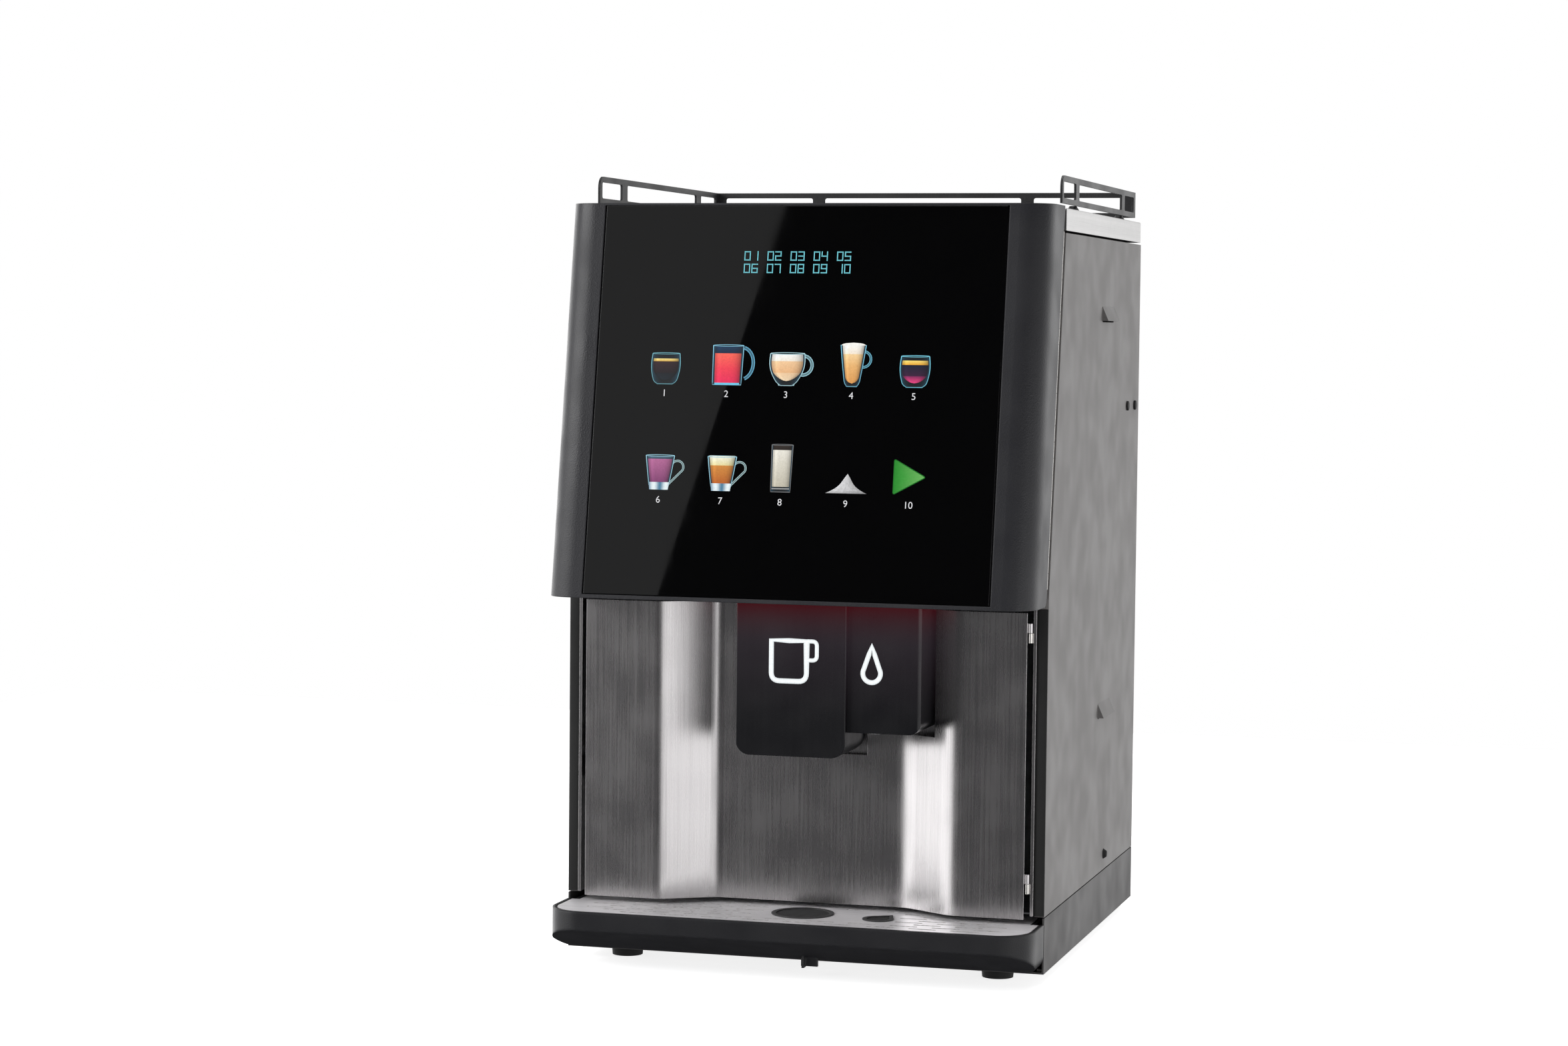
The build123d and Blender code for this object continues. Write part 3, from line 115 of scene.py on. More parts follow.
def blend_colour(tree, factor, first, second):
    """A colour between two, each a triple or a socket."""
    made = add(tree, "Mix", data_type="RGBA")
    link(tree, factor, made.inputs["Factor"])
    for name, value in (("A", first), ("B", second)):
        socket = next(s for s in made.inputs if s.name == name and s.type == "RGBA")
        if isinstance(value, (tuple, list)):
            socket.default_value = (*value, 1)
        else:
            link(tree, value, socket)
    return next(s for s in made.outputs if s.type == "RGBA")


def bump(tree, height, depth, normal=None, strength=1.0):
    """Bump of a height socket, its full range in metres deep."""
    made = add(tree, "Bump")
    made.inputs["Strength"].default_value = strength
    made.inputs["Distance"].default_value = depth
    link(tree, height, made.inputs["Height"])
    if normal is not None:
        link(tree, normal, made.inputs["Normal"])
    return made.outputs["Normal"]


def edge_mask(tree, radius):
    """1 along sharp edges and 0 on flats, within a radius."""
    soft = add(tree, "Bevel", samples=4)
    soft.inputs["Radius"].default_value = radius
    dot = add(tree, "VectorMath", operation="DOT_PRODUCT")
    link(tree, soft.outputs["Normal"], dot.inputs[0])
    link(tree, add(tree, "NewGeometry").outputs["True Normal"], dot.inputs[1])
    return remap(tree, dot.outputs["Value"], 1.0, 0.0, 0.8, 0.985)


# Materials

UPRIGHT = (1, 1, 0.008)
ACROSS = (0.008, 1, 1)
BACKWARD = (1, 0.008, 1)
# Painted light on the head covers: a red glow near the top and a grey haze below it, given as emission, with their
# depths from the top, colours and strength
PAINTED_GLOW_DEPTH = 0.034
PAINTED_GLOW_COLOUR = (0.046, 0.0, 0.002)
PAINTED_HAZE_DEPTH = 0.1
PAINTED_HAZE_COLOUR = (0.026, 0.018, 0.024)
PAINTED_HAZE_STRENGTH = 1.0


def surface(name, colour, rough, metallic=0.0, tone=0.06, grain=900.0, grain_depth=0.00006,
            brushed=None, brush_depth=0.00001, brush_tone=0.14, wear=0.25, wear_colour=None,
            edge=0.0007, specular=0.5, leather=0.0, blotch=9.0, rough_spread=0.07, anisotropic=0.0):
    """Painted, moulded or brushed surface with tone, grain, uneven gloss, soft edges and worn corners."""
    made = bpy.data.materials.new(name)
    made.use_nodes = True
    tree = made.node_tree
    shader = tree.nodes["Principled BSDF"]
    shader.inputs["Metallic"].default_value = metallic
    shader.inputs["Specular IOR Level"].default_value = specular
    shader.inputs["Anisotropic"].default_value = anisotropic
    cloudy = noise(tree, blotch, detail=4.0)
    fine = noise(tree, grain, detail=2.0)
    dark = tuple(c * (1 - tone) for c in colour)
    light = tuple(c * (1 + tone) for c in colour)
    base = blend_colour(tree, remap(tree, cloudy, 0, 1), dark, light)
    base = blend_colour(tree, remap(tree, fine, 0, 1), base, tuple(c * (1 + tone * 0.6) for c in colour))
    uneven = noise(tree, blotch * 3.1, detail=1.0)
    rough_value = remap(tree, uneven, rough - rough_spread, rough + rough_spread)
    normal = add(tree, "Bevel", samples=4)
    normal.inputs["Radius"].default_value = edge
    facing = normal.outputs["Normal"]
    if brushed is not None:
        lines = noise(tree, 1400.0, brushed, detail=2.0)
        broad = noise(tree, 260.0, brushed, detail=2.0)
        facing = bump(tree, lines, brush_depth, facing)
        rough_value = maths(tree, "ADD", rough_value, remap(tree, lines, -0.03, 0.03))
        streaks = maths(tree, "MULTIPLY", remap(tree, broad, 0.0, 1.0), remap(tree, lines, 0.4, 1.0))
        base = blend_colour(tree, streaks, base, tuple(c * (1 - brush_tone) for c in colour))
    if leather:
        facing = bump(tree, cells(tree, 1 / leather), leather * 0.09, facing)
    facing = bump(tree, fine, grain_depth, facing)
    if wear:
        patchy = remap(tree, noise(tree, 240.0), 0.0, wear)
        worn = maths(tree, "MULTIPLY", edge_mask(tree, edge * 1.6), patchy)
        base = blend_colour(tree, worn, base, wear_colour or tuple(min(1, c * 1.6 + 0.02) for c in colour))
        rough_value = maths(tree, "SUBTRACT", rough_value, maths(tree, "MULTIPLY", worn, 0.15))
    link(tree, base, shader.inputs["Base Color"])
    link(tree, rough_value, shader.inputs["Roughness"])
    link(tree, facing, shader.inputs["Normal"])
    return made


def panel_coat():
    """Grey powder coat of the side and rear panels, with orange peel."""
    return surface("panel_coat", (0.124, 0.118, 0.116), 0.5, tone=0.05, grain=620.0,
                   grain_depth=0.00011, wear=0.35)


def base_coat():
    """Powder coat of the base pan, darkened as painted shade for the shade that falls on the base."""
    return surface("base_coat", (0.045, 0.043, 0.043), 0.5, tone=0.06, grain=620.0,
                   grain_depth=0.0001, wear=0.35)


def door_plastic():
    """Moulded charcoal door shell with a fine leather grain."""
    return surface("door_plastic", (0.02, 0.02, 0.023), 0.4, tone=0.05, grain=1500.0, grain_depth=0.00003,
                   leather=0.0011, wear=0.2, edge=0.0012, specular=0.35)


def head_plastic():
    """Satin black covers with faint upright lines, with a painted red glow and a painted grey haze from the top
    down, as emission that stands in for light falling from the door above.
    """
    made = surface("head_plastic", (0.006, 0.006, 0.0075), 0.36, tone=0.08, brushed=UPRIGHT,
                   brush_depth=0.000004, wear=0.12, edge=0.0008, specular=0.35)
    tree = made.node_tree
    shader = tree.nodes["Principled BSDF"]
    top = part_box("cup_unit_cover")[1].z
    split = add(tree, "SeparateXYZ")
    link(tree, add(tree, "TexCoord").outputs["Object"], split.inputs["Vector"])
    # Painted glow and haze: emission strongest at the top of the covers and fading downward
    near = maths(tree, "POWER", remap(tree, split.outputs["Z"], 0.0, 1.0, top - PAINTED_GLOW_DEPTH, top), 1.6)
    far = maths(tree, "POWER", remap(tree, split.outputs["Z"], 0.0, 1.0, top - PAINTED_HAZE_DEPTH, top), 1.5)
    painted_glow_hue = blend_colour(tree, near, PAINTED_HAZE_COLOUR, PAINTED_GLOW_COLOUR)
    link(tree, painted_glow_hue, shader.inputs["Emission Color"])
    link(tree, maths(tree, "MULTIPLY", far, PAINTED_HAZE_STRENGTH), shader.inputs["Emission Strength"])
    return made


def tray_plastic():
    """Satin black moulding of the drip tray."""
    return surface("tray_plastic", (0.013, 0.013, 0.015), 0.4, tone=0.08, grain=1300.0, grain_depth=0.00004,
                   leather=0.0009, wear=0.25, edge=0.003, specular=0.35)


def insert_plastic():
    """Matt black ribbed inserts and switch rocker."""
    return surface("insert_plastic", (0.032, 0.032, 0.033), 0.5, tone=0.1, grain=1300.0, wear=0.2,
                   edge=0.0004)


def rubber_black():
    """Matt black rubber."""
    return surface("rubber_black", (0.007, 0.007, 0.007), 0.75, tone=0.12, grain=1100.0, grain_depth=0.00009,
                   wear=0.3, wear_colour=(0.04, 0.04, 0.04))


def rail_black():
    """Black powder coat of the cup rail, worn on its edges."""
    return surface("rail_black", (0.017, 0.017, 0.018), 0.42, tone=0.1, grain=800.0, grain_depth=0.00008,
                   wear=0.5, wear_colour=(0.14, 0.14, 0.145), edge=0.0005)


def brushed_steel():
    """Stainless sheet with upright brushing."""
    return surface("brushed_steel", (0.62, 0.6, 0.605), 0.27, metallic=1.0, tone=0.02, grain=900.0,
                   grain_depth=0.000002, brushed=UPRIGHT, brush_depth=0.000002, brush_tone=0.06, wear=0.3,
                   wear_colour=(0.8, 0.79, 0.78), edge=0.0005, rough_spread=0.02, anisotropic=0.4)


def tray_steel():
    """Stainless grille, brushed across the machine, darker brown round its edges and slots."""
    return surface("tray_steel", (0.95, 0.93, 0.95), 0.42, metallic=0.3, tone=0.04, grain=900.0,
                   grain_depth=0.000004, brushed=ACROSS, brush_depth=0.00001, wear=1.0,
                   wear_colour=(0.12, 0.07, 0.045), edge=0.0008)


def lid_steel():
    """Bright, slightly cloudy brushed lid."""
    return surface("lid_steel", (0.66, 0.655, 0.65), 0.34, metallic=1.0, tone=0.06, grain=500.0,
                   grain_depth=0.000004, brushed=BACKWARD, brush_depth=0.000005, blotch=38.0,
                   rough_spread=0.03, wear=0.3, edge=0.0005)


def hinge_steel():
    """Rolled bright steel of hinges, lock and fittings."""
    return surface("hinge_steel", (0.68, 0.66, 0.63), 0.28, metallic=1.0, tone=0.08, grain=1200.0,
                   grain_depth=0.000002, wear=0.4, wear_colour=(0.85, 0.84, 0.82), edge=0.0003,
                   blotch=60.0, rough_spread=0.03)


def zinc_sheet():
    """Galvanised sheet with a spangle of crystal patches."""
    return surface("zinc_sheet", (0.5, 0.51, 0.525), 0.42, metallic=0.85, tone=0.14, grain=240.0,
                   grain_depth=0.00001, blotch=90.0, rough_spread=0.03, wear=0.3, edge=0.0004)


def grey_plastic():
    """Moulded grey plastic."""
    return surface("grey_plastic", (0.33, 0.335, 0.34), 0.45, tone=0.04, grain=1200.0, wear=0.15, edge=0.0006)


def motor_black():
    """Black enamel of motors and coils."""
    return surface("motor_black", (0.035, 0.035, 0.038), 0.36, tone=0.1, grain=800.0, wear=0.4, edge=0.0006)


def board_green():
    """Circuit board laminate, lined across and uneven in its green."""
    return surface("board_green", (0.02, 0.13, 0.06), 0.35, tone=0.2, grain=700.0, brushed=ACROSS,
                   brush_depth=0.00001, wear=0.2, blotch=120.0)


def float_red():
    """Glossy red float."""
    return surface("float_red", (0.55, 0.03, 0.02), 0.3, tone=0.08, grain=700.0, wear=0.2)


def plate_metal():
    """Satin aluminium of the rating plate."""
    return surface("plate_metal", (0.7, 0.7, 0.71), 0.4, metallic=0.9, tone=0.04, grain=900.0,
                   grain_depth=0.000004, brushed=ACROSS, brush_depth=0.000004, wear=0.2, edge=0.0002)


def bean_brown():
    """Roasted beans: oily brown, darker in places."""
    return surface("bean_brown", (0.045, 0.019, 0.009), 0.36, tone=0.5, grain=1500.0, grain_depth=0.00008,
                   wear=0.3, wear_colour=(0.12, 0.06, 0.03), edge=0.0004, blotch=110.0, rough_spread=0.12)


def milk_powder():
    """Cream coloured powder."""
    return surface("milk_powder", (0.8, 0.72, 0.56), 0.9, tone=0.08, grain=1500.0,
                   grain_depth=0.0004, wear=0.0, edge=0.0003, blotch=60.0)


def cocoa_powder():
    """Brown powder."""
    return surface("cocoa_powder", (0.16, 0.07, 0.035), 0.92, tone=0.16, grain=1500.0,
                   grain_depth=0.0004, wear=0.0, edge=0.0003, blotch=60.0)


def sugar_grains():
    """White sugar."""
    return surface("sugar_grains", (0.86, 0.86, 0.86), 0.6, tone=0.08, grain=1800.0,
                   grain_depth=0.0004, wear=0.0, edge=0.0003, blotch=60.0)


def translucent(name, colour, rough, through, grain):
    """Moulded plastic that lets part of the light through."""
    made = surface(name, colour, rough, tone=0.04, grain=grain, grain_depth=0.000005, wear=0.1,
                   blotch=22.0, rough_spread=0.02)
    shader = made.node_tree.nodes["Principled BSDF"]
    shader.inputs["Transmission Weight"].default_value = through
    shader.inputs["IOR"].default_value = 1.45
    return made


def clear_plastic():
    """Frosted clear plastic of hopper, canisters and tank."""
    return translucent("clear_plastic", (0.82, 0.83, 0.83), 0.28, 0.6, 500.0)


def tube_silicone():
    """Milky silicone hose."""
    return translucent("tube_silicone", (0.85, 0.84, 0.8), 0.4, 0.35, 700.0)


def front_glass():
    """Black back-printed glass: a smooth sheet with faint smears in its gloss."""
    made = bpy.data.materials.new("front_glass")
    made.use_nodes = True
    tree = made.node_tree
    shader = tree.nodes["Principled BSDF"]
    base = blend_colour(tree, noise(tree, 30.0, detail=2.0), (0.0006, 0.0006, 0.0007), (0.001, 0.001, 0.0011))
    smears = noise(tree, 26.0, (1, 1, 0.35), detail=6.0, rough=0.65)
    dust = noise(tree, 1800.0, detail=1.0)
    smeared = remap(tree, smears, 0.015, 0.05, 0.45, 0.75)
    dusty = remap(tree, dust, 0.0, 0.02, 0.6, 0.8)
    link(tree, base, shader.inputs["Base Color"])
    link(tree, maths(tree, "ADD", smeared, dusty), shader.inputs["Roughness"])
    shader.inputs["IOR"].default_value = 1.5
    soft = add(tree, "Bevel", samples=4)
    soft.inputs["Radius"].default_value = 0.0006
    link(tree, soft.outputs["Normal"], shader.inputs["Normal"])
    return made


def lit_print():
    """Lit print and display dots: each corner of a shape carries its own colour."""
    made = bpy.data.materials.new("lit_print")
    made.use_nodes = True
    tree = made.node_tree
    shader = tree.nodes["Principled BSDF"]
    colour = add(tree, "VertexColor", layer_name="paint")
    shader.inputs["Base Color"].default_value = (0.01, 0.01, 0.01, 1)
    shader.inputs["Roughness"].default_value = 0.25
    grainy = remap(tree, noise(tree, 700.0, detail=2.0), 0.88, 1.0)
    tinted = add(tree, "VectorMath", operation="SCALE")
    link(tree, colour.outputs["Color"], tinted.inputs[0])
    link(tree, grainy, tinted.inputs["Scale"])
    link(tree, tinted.outputs["Vector"], shader.inputs["Emission Color"])
    shader.inputs["Emission Strength"].default_value = 1.0
    return made


makers = (panel_coat, base_coat, door_plastic, head_plastic, tray_plastic, insert_plastic,
          rubber_black, rail_black, brushed_steel, lid_steel, hinge_steel, zinc_sheet,
          grey_plastic, motor_black, board_green, float_red, clear_plastic, tube_silicone,
          front_glass, tray_steel, lit_print, plate_metal, bean_brown, milk_powder, cocoa_powder,
          sugar_grains)
materials = {maker.__name__: maker() for maker in makers}

other_finish = {"tray_grille": "tray_steel"}
for part in frame["record"]["subparts"]:
    name = part["node"]
    finish = other_finish.get(name, part["material_slot"])
    node = frame["nodes"][name]
    node.data.materials.clear()
    node.data.materials.append(materials[finish])


# Pieces in mesh code


def piece(name, points, faces, finish, body, slot_name=None, smooth=False):
    """A mesh piece in place in the machine's frame, riding on a body."""
    data = bpy.data.meshes.new(name)
    data.from_pydata([tuple(p) for p in points], [], faces)
    data.validate()
    if smooth:
        data.shade_smooth()
    made = bpy.data.objects.new(name, data)
    bpy.context.scene.collection.objects.link(made)
    data.materials.append(materials[finish])
    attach(made, body)
    slot_name or finish
    return made


def join(parts):
    """Several (points, faces) as one."""
    points, faces = [], []
    for more_points, more_faces in parts:
        start = len(points)
        points += more_points
        faces += [tuple(start + index for index in face) for face in more_faces]
    return points, faces


def linear(red, green, blue):
    """Linear colour of a display colour given from 0 to 255."""
    return tuple((c / 255) ** 2.2 for c in (red, green, blue))


def between(first, second, share):
    """A tuple part of the way between two."""
    return tuple(a + (b - a) * share for a, b in zip(first, second))


# The leaning front plane of the glass, and level front planes

glass_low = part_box("door_glass")[0]
hinge = next(j for j in frame["joints"] if j["name"] == "door_hinge")
door_up = Vector(hinge["axis"])
door_out = Vector((0, -door_up.z, door_up.y))


def on_glass(x, height, lift):
    """Point at an X and a height on the glass, lifted off it."""
    start = Vector((x, glass_low.y, glass_low.z))
    return start + door_up * ((height - glass_low.z) / door_up.z) + door_out * lift


def on_front(y):
    """Function that gives points on an upright front plane."""
    return lambda x, height, lift: Vector((x, y - lift, height))


LAYER_STEP = 0.03


class Drawing:
    """Coloured flat shapes on one plane, each on its own thin layer, gathered in one mesh."""

    def __init__(self, plane, centre, foot, first_layer=0.15):
        self.plane = plane
        self.centre = centre
        self.foot = foot
        self.layer = first_layer
        self.points = []
        self.faces = []
        self.colours = []

    def point(self, u, v, colour, lift=0.0):
        """One corner, in millimetres from the drawing's foot."""
        self.points.append(self.plane(self.centre + u * MM, self.foot + v * MM, (self.layer + lift) * MM))
        self.colours.append((*colour, 1.0))
        return len(self.points) - 1

    def patch(self, left, right, low, high, paint, rows=12, columns=8):
        """A filled shape between two side lines; paint gives the colour at (across, up), both 0 to 1."""
        grid = []
        for row in range(rows + 1):
            up = row / rows
            start, end = left(up), right(up)
            line = []
            for column in range(columns + 1):
                across = column / columns
                u = start + (end - start) * across
                line.append(self.point(u, low + (high - low) * up, paint(across, up)))
            grid.append(line)
        for low_line, high_line in zip(grid, grid[1:]):
            for a, b, c, d in zip(low_line, low_line[1:], high_line[1:], high_line):
                self.faces.append((a, b, c, d))
        self.layer += LAYER_STEP

    def stroke(self, path, width, paint, closed=False, crown=0.0):
        """A ribbon along a path; paint gives the colour at (across, along), both 0 to 1."""
        count = len(path)
        rings = []
        for number, (u, v) in enumerate(path):
            before = path[(number - 1) % count] if closed or number else path[0]
            after = path[(number + 1) % count] if closed or number < count - 1 else path[-1]
            along = Vector((after[0] - before[0], after[1] - before[1])).normalized()
            leaving = Vector((after[0] - u, after[1] - v))
            mitre = leaving.normalized().dot(along) if leaving.length else 1.0
            side = Vector((-along.y, along.x)) * width / 2 / max(0.7, mitre)
            ring = []
            for across in (0.0, 0.2, 0.5, 0.8, 1.0):
                shift = side * (across * 2 - 1)
                lift = crown * (1 - (across * 2 - 1) ** 4)
                ring.append(self.point(u + shift.x, v + shift.y, paint(across, number / count), lift))
            rings.append(ring)
        pairs = list(zip(rings, rings[1:]))
        if closed:
            pairs.append((rings[-1], rings[0]))
        for first, second in pairs:
            for a, b, c, d in zip(first, first[1:], second[1:], second):
                self.faces.append((a, b, c, d))
        self.layer += LAYER_STEP

    def finish(self, name, body="door"):
        """Turn the drawing into a piece."""
        made = piece(name, self.points, self.faces, "lit_print", body, "front_glass")
        paint = made.data.color_attributes.new("paint", "FLOAT_COLOR", "POINT")
        paint.data.foreach_set("color", [c for colour in self.colours for c in colour])
        return made


def rounded(points, radius, steps=6):
    """A closed outline with its corners rounded."""
    path = []
    count = len(points)
    for number, corner in enumerate(points):
        corner = Vector(corner)
        before = Vector(points[number - 1]) - corner
        after = Vector(points[(number + 1) % count]) - corner
        reach = min(radius, before.length / 2.1, after.length / 2.1)
        start = corner + before.normalized() * reach
        end = corner + after.normalized() * reach
        for step in range(steps + 1):
            share = step / steps
            one = start.lerp(corner, share)
            two = corner.lerp(end, share)
            path.append(tuple(one.lerp(two, share)))
    return path


def arc(centre, radius, start, end, steps=14, squash=1.0):
    """Points along an arc, its angles in degrees."""
    path = []
    for step in range(steps + 1):
        angle = math.radians(start + (end - start) * step / steps)
        path.append((centre[0] + radius * math.cos(angle), centre[1] + radius * squash * math.sin(angle)))
    return path


GLASS_EDGE = linear(150, 205, 225)
GLASS_DIM = linear(30, 62, 78)
GLASS_DARK = linear(14, 22, 27)


def wall_line(low_half, high_half, bow):
    """Half width of a vessel at a share of its height, bowed out in the middle and tucked in at the foot."""

    def half(up):
        tuck = min(1.0, up / 0.12) if bow > 0.02 else 1.0
        tuck = 0.72 + 0.28 * math.sin(tuck * math.pi / 2)
        return (low_half + (high_half - low_half) * up + bow * math.sin(up * math.pi)) * tuck

    return half


def vessel(drawing, low_half, high_half, height, bow, bands, edge=GLASS_EDGE, wall=1.8, bowl=0.0,
           rim=True):
    """A glass with its drink: wall, bands as (from, to, low colour, high colour), rim and bright outline.

    A bowl above 0 rounds the drink's foot over that share of the height, as in a double walled glass.
    """
    half = wall_line(low_half, high_half, bow)
    foot = bands[0][0]

    def glass(across, up):
        side = abs(across * 2 - 1) ** 4
        return between(GLASS_DARK, GLASS_DIM, side)

    drawing.patch(lambda up: -half(up), half, 0, height, glass)
    for start, end, low_colour, high_colour in bands:

        def drink_half(up, start=start, end=end):
            share = start + (end - start) * up
            near = min(1.0, (share - foot) / bowl) if bowl else 1.0
            return (half(share) - wall) * math.sqrt(max(0.0, 1 - (1 - near) ** 2))

        def drink(across, up, low_colour=low_colour, high_colour=high_colour):
            shade = 1 - 0.5 * abs(across * 2 - 0.9) ** 3
            shine = 0.3 * math.exp(-((across - 0.16) / 0.07) ** 2)
            colour = between(low_colour, high_colour, up)
            return tuple(min(1.0, c * (shade + shine)) for c in colour)

        drawing.patch(lambda up: -drink_half(up), drink_half, height * start, height * end, drink,
                      rows=12, columns=14)
    outline = [(-half(k / 16), height * k / 16) for k in range(16, -1, -1)]
    outline += [(half(k / 16), height * k / 16) for k in range(17)]

    def shine(across, along):
        bright = 0.55 + 0.45 * abs(along * 2 - 1)
        return tuple(c * bright for c in edge)

    drawing.stroke(outline, 0.62, shine)
    if rim:
        top = arc((0, height), high_half, 0, 360, 28, squash=0.05)
        drawing.stroke(top, 0.42, lambda across, along: tuple(c * 0.9 for c in edge), closed=True)


def handle(drawing, path, colour=GLASS_EDGE, width=1.9):
    """A glass handle: bright edges and a darker middle."""
    dark = tuple(c * 0.16 for c in colour)
    drawing.stroke(path, width, lambda across, along: between(dark, colour, abs(across * 2 - 1) ** 1.5))


def dark_coffee(drawing):
    """Double walled tumbler of dark coffee with a thin gold cream."""
    vessel(drawing, 9.0, 11.6, 25.0, 1.9, (
        (0.13, 0.36, linear(22, 34, 44), linear(20, 26, 34)),
        (0.36, 0.74, linear(30, 22, 28), linear(52, 32, 38)),
        (0.74, 0.83, linear(214, 168, 74), linear(250, 226, 140)),
    ), edge=linear(120, 186, 200), wall=1.5, bowl=0.34)


def red_tea(drawing):
    """Straight mug of red tea, dark blue above the drink."""
    handle(drawing, arc((11.5, 17.5), 10.2, 78, -72, squash=1.28), linear(110, 190, 226), 2.7)
    vessel(drawing, 12.2, 13.0, 32.0, 0.0, (
        (0.05, 0.42, linear(238, 44, 92), linear(246, 66, 84)),
        (0.42, 0.8, linear(246, 66, 84), linear(255, 104, 88)),
        (0.8, 0.98, linear(10, 38, 66), linear(24, 58, 88)),
    ), edge=linear(140, 208, 236), wall=1.6)
    drawing.stroke([(-10.5, 0.7), (10.5, 0.7)], 1.7, lambda across, along: linear(110, 200, 236))


def cappuccino(drawing):
    """Round cup of milk coffee with foam, on a narrow foot."""
    handle(drawing, arc((13.2, 16.5), 7.8, 112, -118), linear(170, 226, 240), 2.6)
    dim, bright = linear(30, 80, 104), linear(190, 236, 246)
    drawing.patch(lambda up: -6.6 - up, lambda up: 6.6 + up, 0, 3.4,
                  lambda across, up: between(dim, bright, abs(across * 2 - 1)), rows=3)
    vessel(drawing, 6.6, 14.4, 26.0, 3.4, (
        (0.14, 0.4, linear(240, 214, 178), linear(244, 204, 160)),
        (0.4, 0.76, linear(238, 184, 132), linear(250, 206, 158)),
        (0.76, 0.97, linear(250, 240, 224), linear(255, 255, 252)),
    ), edge=linear(190, 234, 244), wall=1.5, bowl=0.3)


def tall_latte(drawing):
    """Tall tapered glass of milk coffee under a dome of foam."""
    handle(drawing, arc((8.6, 22.0), 6.4, 105, -110), linear(120, 204, 232), 2.0)
    vessel(drawing, 5.8, 10.6, 33.5, 0.2, (
        (0.07, 0.5, linear(224, 156, 84), linear(240, 184, 116)),
        (0.5, 0.78, linear(240, 184, 116), linear(252, 214, 156)),
        (0.78, 1.0, linear(252, 236, 214), linear(255, 255, 250)),
    ), edge=linear(130, 206, 234), wall=1.4, bowl=0.16, rim=False)

    def dome(up):
        return 10.2 * math.sqrt(1 - up ** 2)

    drawing.patch(lambda up: -dome(up), dome, 33.2, 35.4,
                  lambda across, up: linear(252, 250, 244), rows=5, columns=10)


def small_espresso(drawing):
    """Double walled tumbler of espresso, glowing red at its foot."""
    vessel(drawing, 9.0, 11.6, 25.0, 1.9, (
        (0.13, 0.36, linear(236, 70, 130), linear(120, 40, 88)),
        (0.36, 0.72, linear(60, 30, 60), linear(16, 32, 52)),
        (0.72, 0.86, linear(238, 168, 46), linear(255, 226, 120)),
    ), edge=linear(130, 222, 246), wall=1.5, bowl=0.34)


def glass_on_foot(drawing, bands):
    """Tapered cup on a bright metal foot, its handle curled out at the top and straight down to the foot."""
    curl = arc((15.0, 18.2), 5.2, 150, -25, 14)
    handle(drawing, [(10.0, 19.0)] + curl + [(7.4, 3.6)], linear(190, 226, 230), 1.7)
    vessel(drawing, 7.8, 12.2, 27.5, 0.2, bands, edge=linear(160, 214, 232), wall=1.3)

    def metal(across, up):
        shine = 0.5 + 0.5 * math.cos((across - 0.24) * 10)
        return between(linear(70, 124, 156), linear(240, 252, 255), shine)

    drawing.patch(lambda up: -8.0 - up * 0.8, lambda up: 8.0 + up * 0.8, -0.3, 5.8, metal, rows=3, columns=14)


def hot_chocolate(drawing):
    """Cup of chocolate."""
    glass_on_foot(drawing, (
        (0.2, 0.9, linear(128, 62, 110), linear(180, 104, 150)),
        (0.9, 0.98, linear(40, 66, 86), linear(90, 120, 140)),
    ))


def mocha(drawing):
    """Cup of mocha with foam."""
    glass_on_foot(drawing, (
        (0.2, 0.74, linear(186, 96, 34), linear(214, 140, 62)),
        (0.74, 1.03, linear(236, 222, 158), linear(250, 252, 232)),
    ))


def milk_glass(drawing):
    """Straight tall glass of milk on a thick clear base, dark above the milk."""
    vessel(drawing, 8.2, 8.9, 38.0, 0.0, (
        (0.11, 0.6, linear(196, 190, 172), linear(222, 217, 202)),
        (0.6, 0.89, linear(222, 217, 202), linear(240, 236, 224)),
        (0.89, 0.99, linear(34, 26, 22), linear(52, 42, 36)),
    ), edge=linear(120, 122, 124), wall=1.0)
    drawing.stroke([(-7.4, 2.6), (7.4, 2.6)], 1.1, lambda across, along: linear(150, 152, 152))


def sugar_pile(drawing):
    """Small heap of sugar with hollow flanks."""

    def side(sign):
        return lambda up: sign * 17.2 * (1 - up) ** 1.15 * (1 - 0.32 * math.sin(up * math.pi)) + 0.8 * up

    def grain(across, up):
        speck = random.uniform(0.72, 1.0)
        light = 0.5 + 0.5 * (1 - across) ** 0.6
        foot = 0.6 + 0.4 * min(1.0, up * 6)
        return tuple(c * speck * light * foot for c in linear(236, 236, 238))

    drawing.patch(side(-1), side(1), 0, 15.8, grain, rows=18, columns=30)


def start_arrow(drawing):
    """Green triangle that points right."""
    outline = rounded([(-13.0, 0.0), (13.4, 14.2), (-13.0, 28.4)], 2.0)
    low, high = linear(34, 136, 40), linear(110, 184, 96)
    middle = drawing.point(-4.6, 14.2, linear(62, 156, 60))
    ring = [drawing.point(u, v, between(low, high, (u + 13.0) / 26.4)) for u, v in outline]
    for a, b in zip(ring, ring[1:] + ring[:1]):
        drawing.faces.append((middle, a, b))
    drawing.layer += LAYER_STEP
    drawing.stroke(outline, 0.7, lambda across, along: linear(24, 112, 34), closed=True)


# Keys on the glass: two rows of five, each with its number below; rows as foot of picture and of number

COLUMNS = (-110.5, -57.5, -7.0, 48.0, 100.0)
ROWS = ((486.5, 476.5), (400.5, 389.6))
NUMBER_HEIGHT = 5.4
PRINT_LIFT = 0.15 * MM
KEYS = (dark_coffee, red_tea, cappuccino, tall_latte, small_espresso,
        hot_chocolate, mocha, milk_glass, sugar_pile, start_arrow)

for number, draw in enumerate(KEYS):
    foot, label = ROWS[number // 5]
    picture = Drawing(on_glass, COLUMNS[number % 5] * MM, foot * MM)
    draw(picture)
    picture.finish("key_picture_" + draw.__name__)


